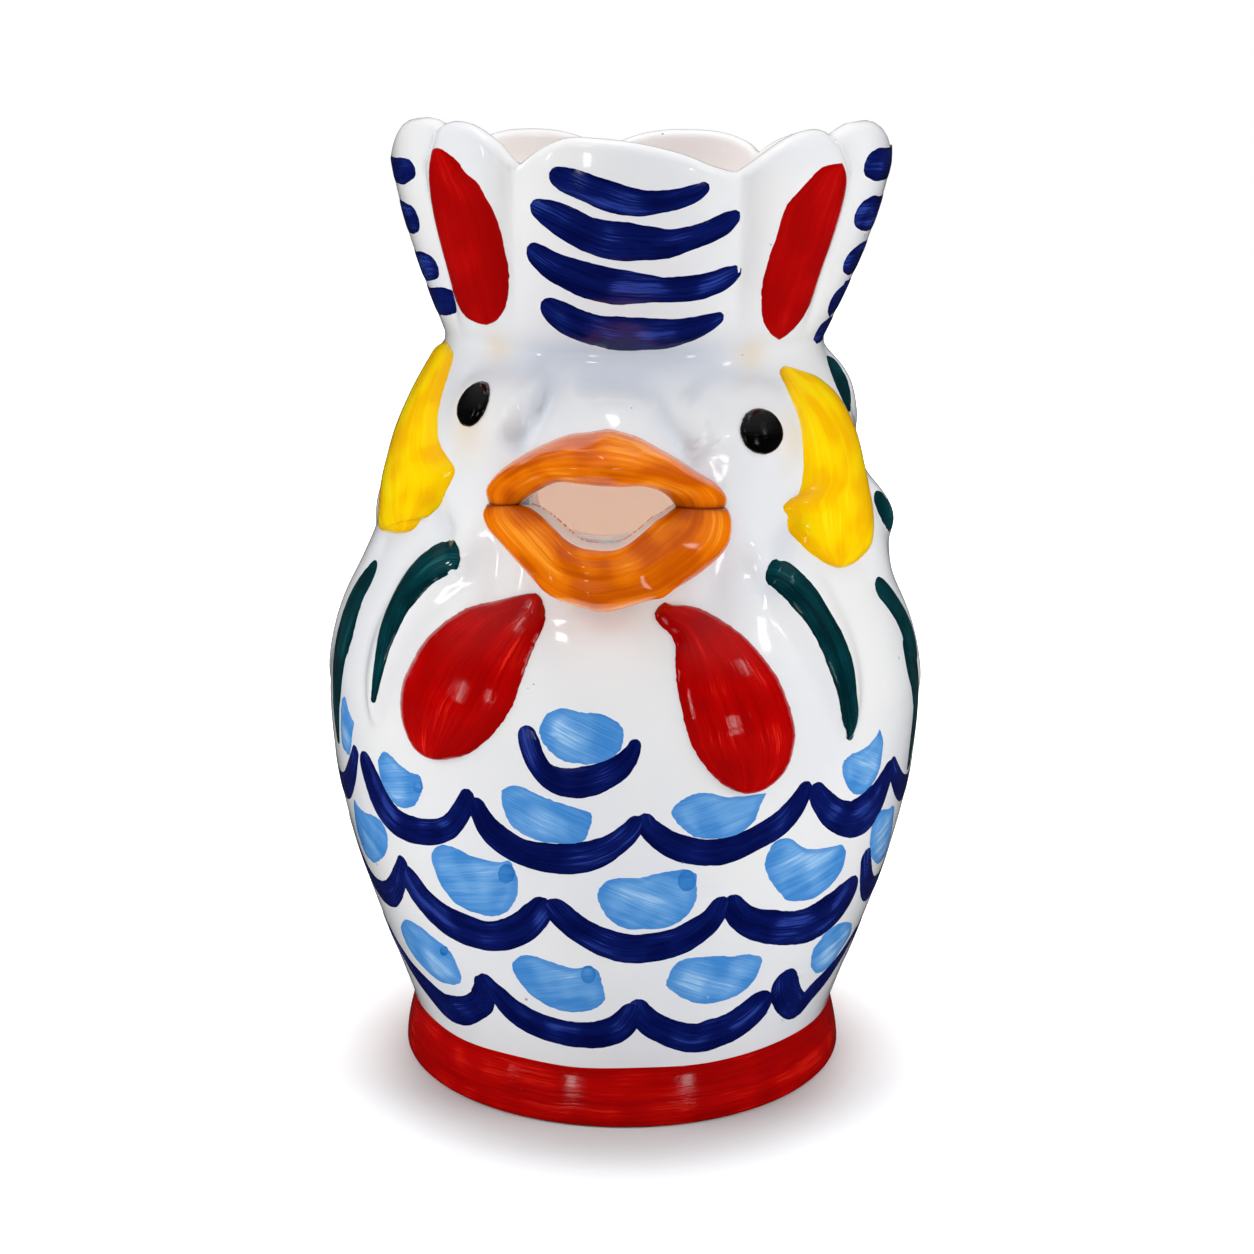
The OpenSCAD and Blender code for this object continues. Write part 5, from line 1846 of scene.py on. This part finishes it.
@dataclass
class Handle:
    """The strap handle at the back, with painted dashes on the side that faces the belly."""

    form: HenForm
    line: tuple[Place, ...] = (
        (78.5, 94), (91.6, 100.2), (102.9, 114.5), (109, 138.5), (108.2, 163.4), (99.7, 183), (85, 192.8),
        (68.6, 191), (54.4, 183))
    half_width: float = 12.5
    half_thickness: float = 6.0
    flare: float = 0.25
    fillet: float = 0.16
    sunk: float = 1.6
    rows: int = 96
    columns: int = 44

    def build(self, palette: Palette) -> None:
        """Builds and glazes the handle.

        Args:
            palette: The glazes.
        """
        f = self.form
        share = np.linspace(0, 1, self.rows + 1)
        line = curve_through(np.array(self.line, float), share)
        length = run_of(np.linalg.norm(np.diff(line, axis=0), axis=1))
        share = np.interp(np.linspace(0, length[-1], self.rows + 1), length, share)
        line = curve_through(np.array(self.line, float), share)
        away = np.minimum(share, 1 - share)
        distance = away * length[-1]
        scale = 1 + self.flare * smooth(1 - away / 0.25) + self.fillet * np.exp(-(distance / 5) ** 2)
        way = unit(np.gradient(line, axis=0))
        angles = np.linspace(0, 2 * math.pi, self.columns + 1)
        groove = 1 - 0.1 * np.exp(-(np.cos(angles) / 0.45) ** 2) * (np.sin(angles) > 0)
        across = np.cos(angles) * (self.half_width * scale)[:, None]
        through = np.sin(angles) * groove * (self.half_thickness * scale)[:, None]
        y, z = line[:, :1] + through * way[:, 1:], line[:, 1:] - through * way[:, :1]
        lean = f.lean(z)
        for row in (0, -1):
            turn = 180 - np.degrees(np.arctan2(across[row], y[row]))
            turn = np.where(turn > 180, turn - 360, turn)
            r = f.outer_r(turn, z[row], relief=False) - self.sunk
            y[row] = np.sqrt(np.clip(r ** 2 - across[row] ** 2, 1, None))
        points = np.stack([across + lean, y, z], axis=-1) * MM
        middle = points.mean(axis=1, keepdims=True)
        points = np.concatenate([np.repeat(middle[:1], self.columns + 1, axis=1), points,
                                 np.repeat(middle[-1:], self.columns + 1, axis=1)])
        along = np.concatenate([[0], share * length[-1], [length[-1]]])[:, None] / 10
        brush = np.stack(np.broadcast_arrays(across[:1] / 10, along), axis=-1)
        inward = (np.sin(angles) < -0.1) & (np.abs(np.cos(angles)) < 0.72)
        share = along * 10 / length[-1]
        dash = inward & (np.sin(share * math.pi * 13) > 0.1) & (share > 0.12) & (share < 0.9)
        piece = laid_grid("glazed_handle", Sheet(points, brush, {"dash": dash}), angle=70)
        palette.dress(piece, Glaze.HANDLE, "handle")


@dataclass
class FootRing:
    """The red foot, whose glaze runs a little way up the belly."""

    form: HenForm
    columns: int = 240

    def build(self, palette: Palette) -> None:
        """Builds and glazes the foot.

        Args:
            palette: The glazes.
        """
        f = self.form
        turns = np.linspace(-180, 180, self.columns + 1)
        around = (turns + 180) / 360
        edge = f.foot_h + 1.1 + 0.55 * wobble(around, 5, 14, 0.3)
        inner = f.foot_r - f.foot_band_t
        rows: list[tuple[Array, Array]] = []

        def ring(r: Array | float, z: Array | float) -> None:
            """Adds a row of radii and heights."""
            rows.append((r * np.ones_like(turns), z * np.ones_like(turns)))

        ring(inner, 0)
        ring(inner + 2, 0)
        for angle in np.linspace(-math.pi / 2, 0, 6):
            ring(f.foot_r - 1.2 * (1 - math.cos(angle)), 1.2 * (1 + math.sin(angle)))
        for share in np.linspace(0, 1, 13)[1:]:
            z = mix(1.2, f.foot_h - 0.6, share)
            swell = 0.1 * wobble(around, 8, 6, 0.4) * math.sin(math.pi * share)
            ring(mix(f.foot_r, f.waist_r + 0.2, share ** 1.5) + swell, z)
        for share in (0.0, 0.3, 0.6, 0.85):
            z = mix(f.foot_h, edge, share)
            ring(f.outer_r(turns, z) + 0.22 * math.sqrt(1 - share ** 2), z)
        ring(f.outer_r(turns, edge) - 0.05, edge)
        ring(f.outer_r(turns, edge) - 0.5, edge - 0.4)
        ring(f.waist_r - 1.2, f.foot_h - 0.3)
        ring(inner, f.foot_h - 0.3)
        ring(inner, 0)
        r, z = np.swapaxes(rows, 0, 1)
        brush = np.stack(np.broadcast_arrays(around * 37, z / 10), axis=-1)
        piece = laid_grid("glazed_foot", Sheet(f.place(turns, r, z), brush, {"rim": 0.3, "tone": 0.2}), 60)
        palette.dress(piece, Glaze.RED, "foot_band")


@dataclass(frozen=True)
class Softbox:
    """A studio lamp."""

    name: str
    place: tuple[float, float, float]
    aim_z: float
    size: Place
    power: float
    mirrored: bool = True
    round_lamp: bool = False

    def add(self) -> None:
        """Adds the lamp, a ball of light inside the pitcher or a panel outside it."""
        data = bpy.data.lights.new(self.name, "POINT" if self.round_lamp else "AREA")
        if self.round_lamp:
            data.shadow_soft_size = self.size[0]
        else:
            data.shape = "RECTANGLE"
            data.size, data.size_y = self.size
        data.energy = self.power
        lamp = bpy.data.objects.new(self.name, data)
        bpy.context.scene.collection.objects.link(lamp)
        lamp.location = self.place
        lamp.visible_glossy = self.mirrored and not self.round_lamp
        lamp.visible_camera = False
        way = Vector((0, 0, self.aim_z)) - Vector(self.place)
        lamp.rotation_euler = way.to_track_quat("-Z", "Y").to_euler()


@dataclass
class Studio:
    """The white sweep with a painted contact shadow about the foot, the lamps and the camera."""

    camera: PhotoCamera
    boxes: tuple[Softbox, ...] = (
        Softbox("left_box", (-1.1, -0.35, 0.75), 0.12, (0.7, 0.9), 8.3, mirrored=False),
        Softbox("right_box", (1.1, -0.3, 0.7), 0.12, (0.6, 0.8), 7.4, mirrored=False),
        Softbox("front_box", (0.0, -1.5, 0.7), 0.12, (1.0, 0.5), 0.15, mirrored=False),
        Softbox("top_box", (0.0, 0.15, 1.4), 0.1, (0.8, 0.6), 7.0, mirrored=False),
        Softbox("inner_glow", (0.0, -0.02, 0.085), 0.0, (0.03, 0.03), 0.041, round_lamp=True),
        Softbox("top_window", (-0.1, -0.1, 1.5), 0.1, (0.3, 0.12), 0.7),
        Softbox("high_window", (-0.46, -1.04, 0.95), 0.1, (0.09, 0.09), 0.3),
        Softbox("left_slit", (-1.09, -0.86, 0.31), 0.1, (0.06, 0.22), 0.3),
        Softbox("right_slit", (1.1, -0.55, 0.78), 0.1, (0.08, 0.2), 0.3),
        Softbox("left_window_low", (-0.55, -1.4, 0.07), 0.1, (0.11, 0.10), 0.2),
        Softbox("left_window_high", (-0.55, -1.4, 0.21), 0.1, (0.11, 0.13), 0.26),
        Softbox("right_window_low", (0.89, -1.2, 0.07), 0.1, (0.13, 0.10), 0.22),
        Softbox("right_window_high", (0.89, -1.2, 0.21), 0.1, (0.13, 0.13), 0.3),
    )
    ambient: float = 0.38
    dark: float = 0.012
    overhead: float = 0.25

    def build(self) -> None:
        """Builds the studio."""
        self.camera.add()
        for box in self.boxes:
            box.add()
        self.world()
        bpy.ops.object.select_all(action="DESELECT")
        bpy.ops.mesh.primitive_plane_add(size=6)
        floor = bpy.context.object
        floor.name = "floor"
        material, shop, shader = new_material("floor")
        at = shop.node("TexCoord").outputs["Object"]
        # Painted contact shadow: measured from a point 2 cm ahead of the foot, towards the camera.
        from_painted_shadow_centre = shop.first("VectorMath", operation="ADD", i0=at, i1=(0, 0.02, 0))
        radius = shop.node("VectorMath", operation="LENGTH", i0=from_painted_shadow_centre).outputs["Value"]
        # Painted shadow: the white glow that camera rays see fades out near the foot, so the floor stays
        # darker there.
        white_glow_and_painted_shadow = shop.plus(shop.times(shop.ramp(radius, 0.045, 0.11), 0.55),
                         shop.times(shop.ramp(radius, 0.1, 0.4), 0.45))
        path = shop.node("LightPath").outputs
        # Painted shadow: the floor's colour turns grey within a few centimetres of the foot.
        floor_with_painted_shadow = shop.blend(shop.ramp(radius, 0.04, 0.07), (0.7, 0.68, 0.68, 1), (0.94, 0.94, 0.94, 1))
        sweep = shop.blend(path["Is Glossy Ray"], floor_with_painted_shadow, (self.dark,) * 3 + (1,))
        shop.fill(shader, Base__Color=sweep, Roughness=0.9, Specular__IOR__Level=0.1,
                  Emission__Color=(1, 1, 1, 1), Emission__Strength=shop.times(white_glow_and_painted_shadow, path["Is Camera Ray"]))
        floor.data.materials.append(material)
        bpy.context.scene.view_settings.view_transform = "Standard"

    def world(self) -> None:
        """Sets the white surroundings, dimmer for the light that they give."""
        world = bpy.data.worlds.new("studio")
        bpy.context.scene.world = world
        world.use_nodes = True
        shop = Shop(world.node_tree)
        path = shop.node("LightPath").outputs
        way = shop.node("SeparateXYZ", i0=shop.node("NewGeometry").outputs["Incoming"]).outputs
        above = shop.times(shop.ramp(way["Z"], -0.25, -0.95), self.overhead)
        mirrored = shop.times(path["Is Glossy Ray"], shop.plus(above, self.dark))
        seen = shop.plus(path["Is Camera Ray"], path["Is Transmission Ray"], clamp=True)
        spread = shop.times(path["Is Diffuse Ray"], self.ambient)
        shop.fill(world.node_tree.nodes["Background"], Color=(1, 1, 1, 1),
                  Strength=shop.plus(shop.plus(seen, mirrored), spread, clamp=True))


def main() -> None:
    """Builds the pitcher and its studio."""
    logging.basicConfig(level=logging.INFO, format="%(name)s: %(message)s")
    form, camera = HenForm(), PhotoCamera()
    palette = Palette(Effects())
    Body(form).build(palette)
    surface = form.skin_tree()
    Beak(form, camera, form.skin_tree(relief=False)).build(palette)
    Face(form, camera, surface).build(palette)
    Feathers(form, camera, surface).build(palette)
    ScalePaint(form, camera, surface).build(palette)
    CrestPaint(form, camera, surface).build(palette)
    Handle(form).build(palette)
    FootRing(form).build(palette)
    Studio(camera).build()


if __name__ == "__main__":
    main()
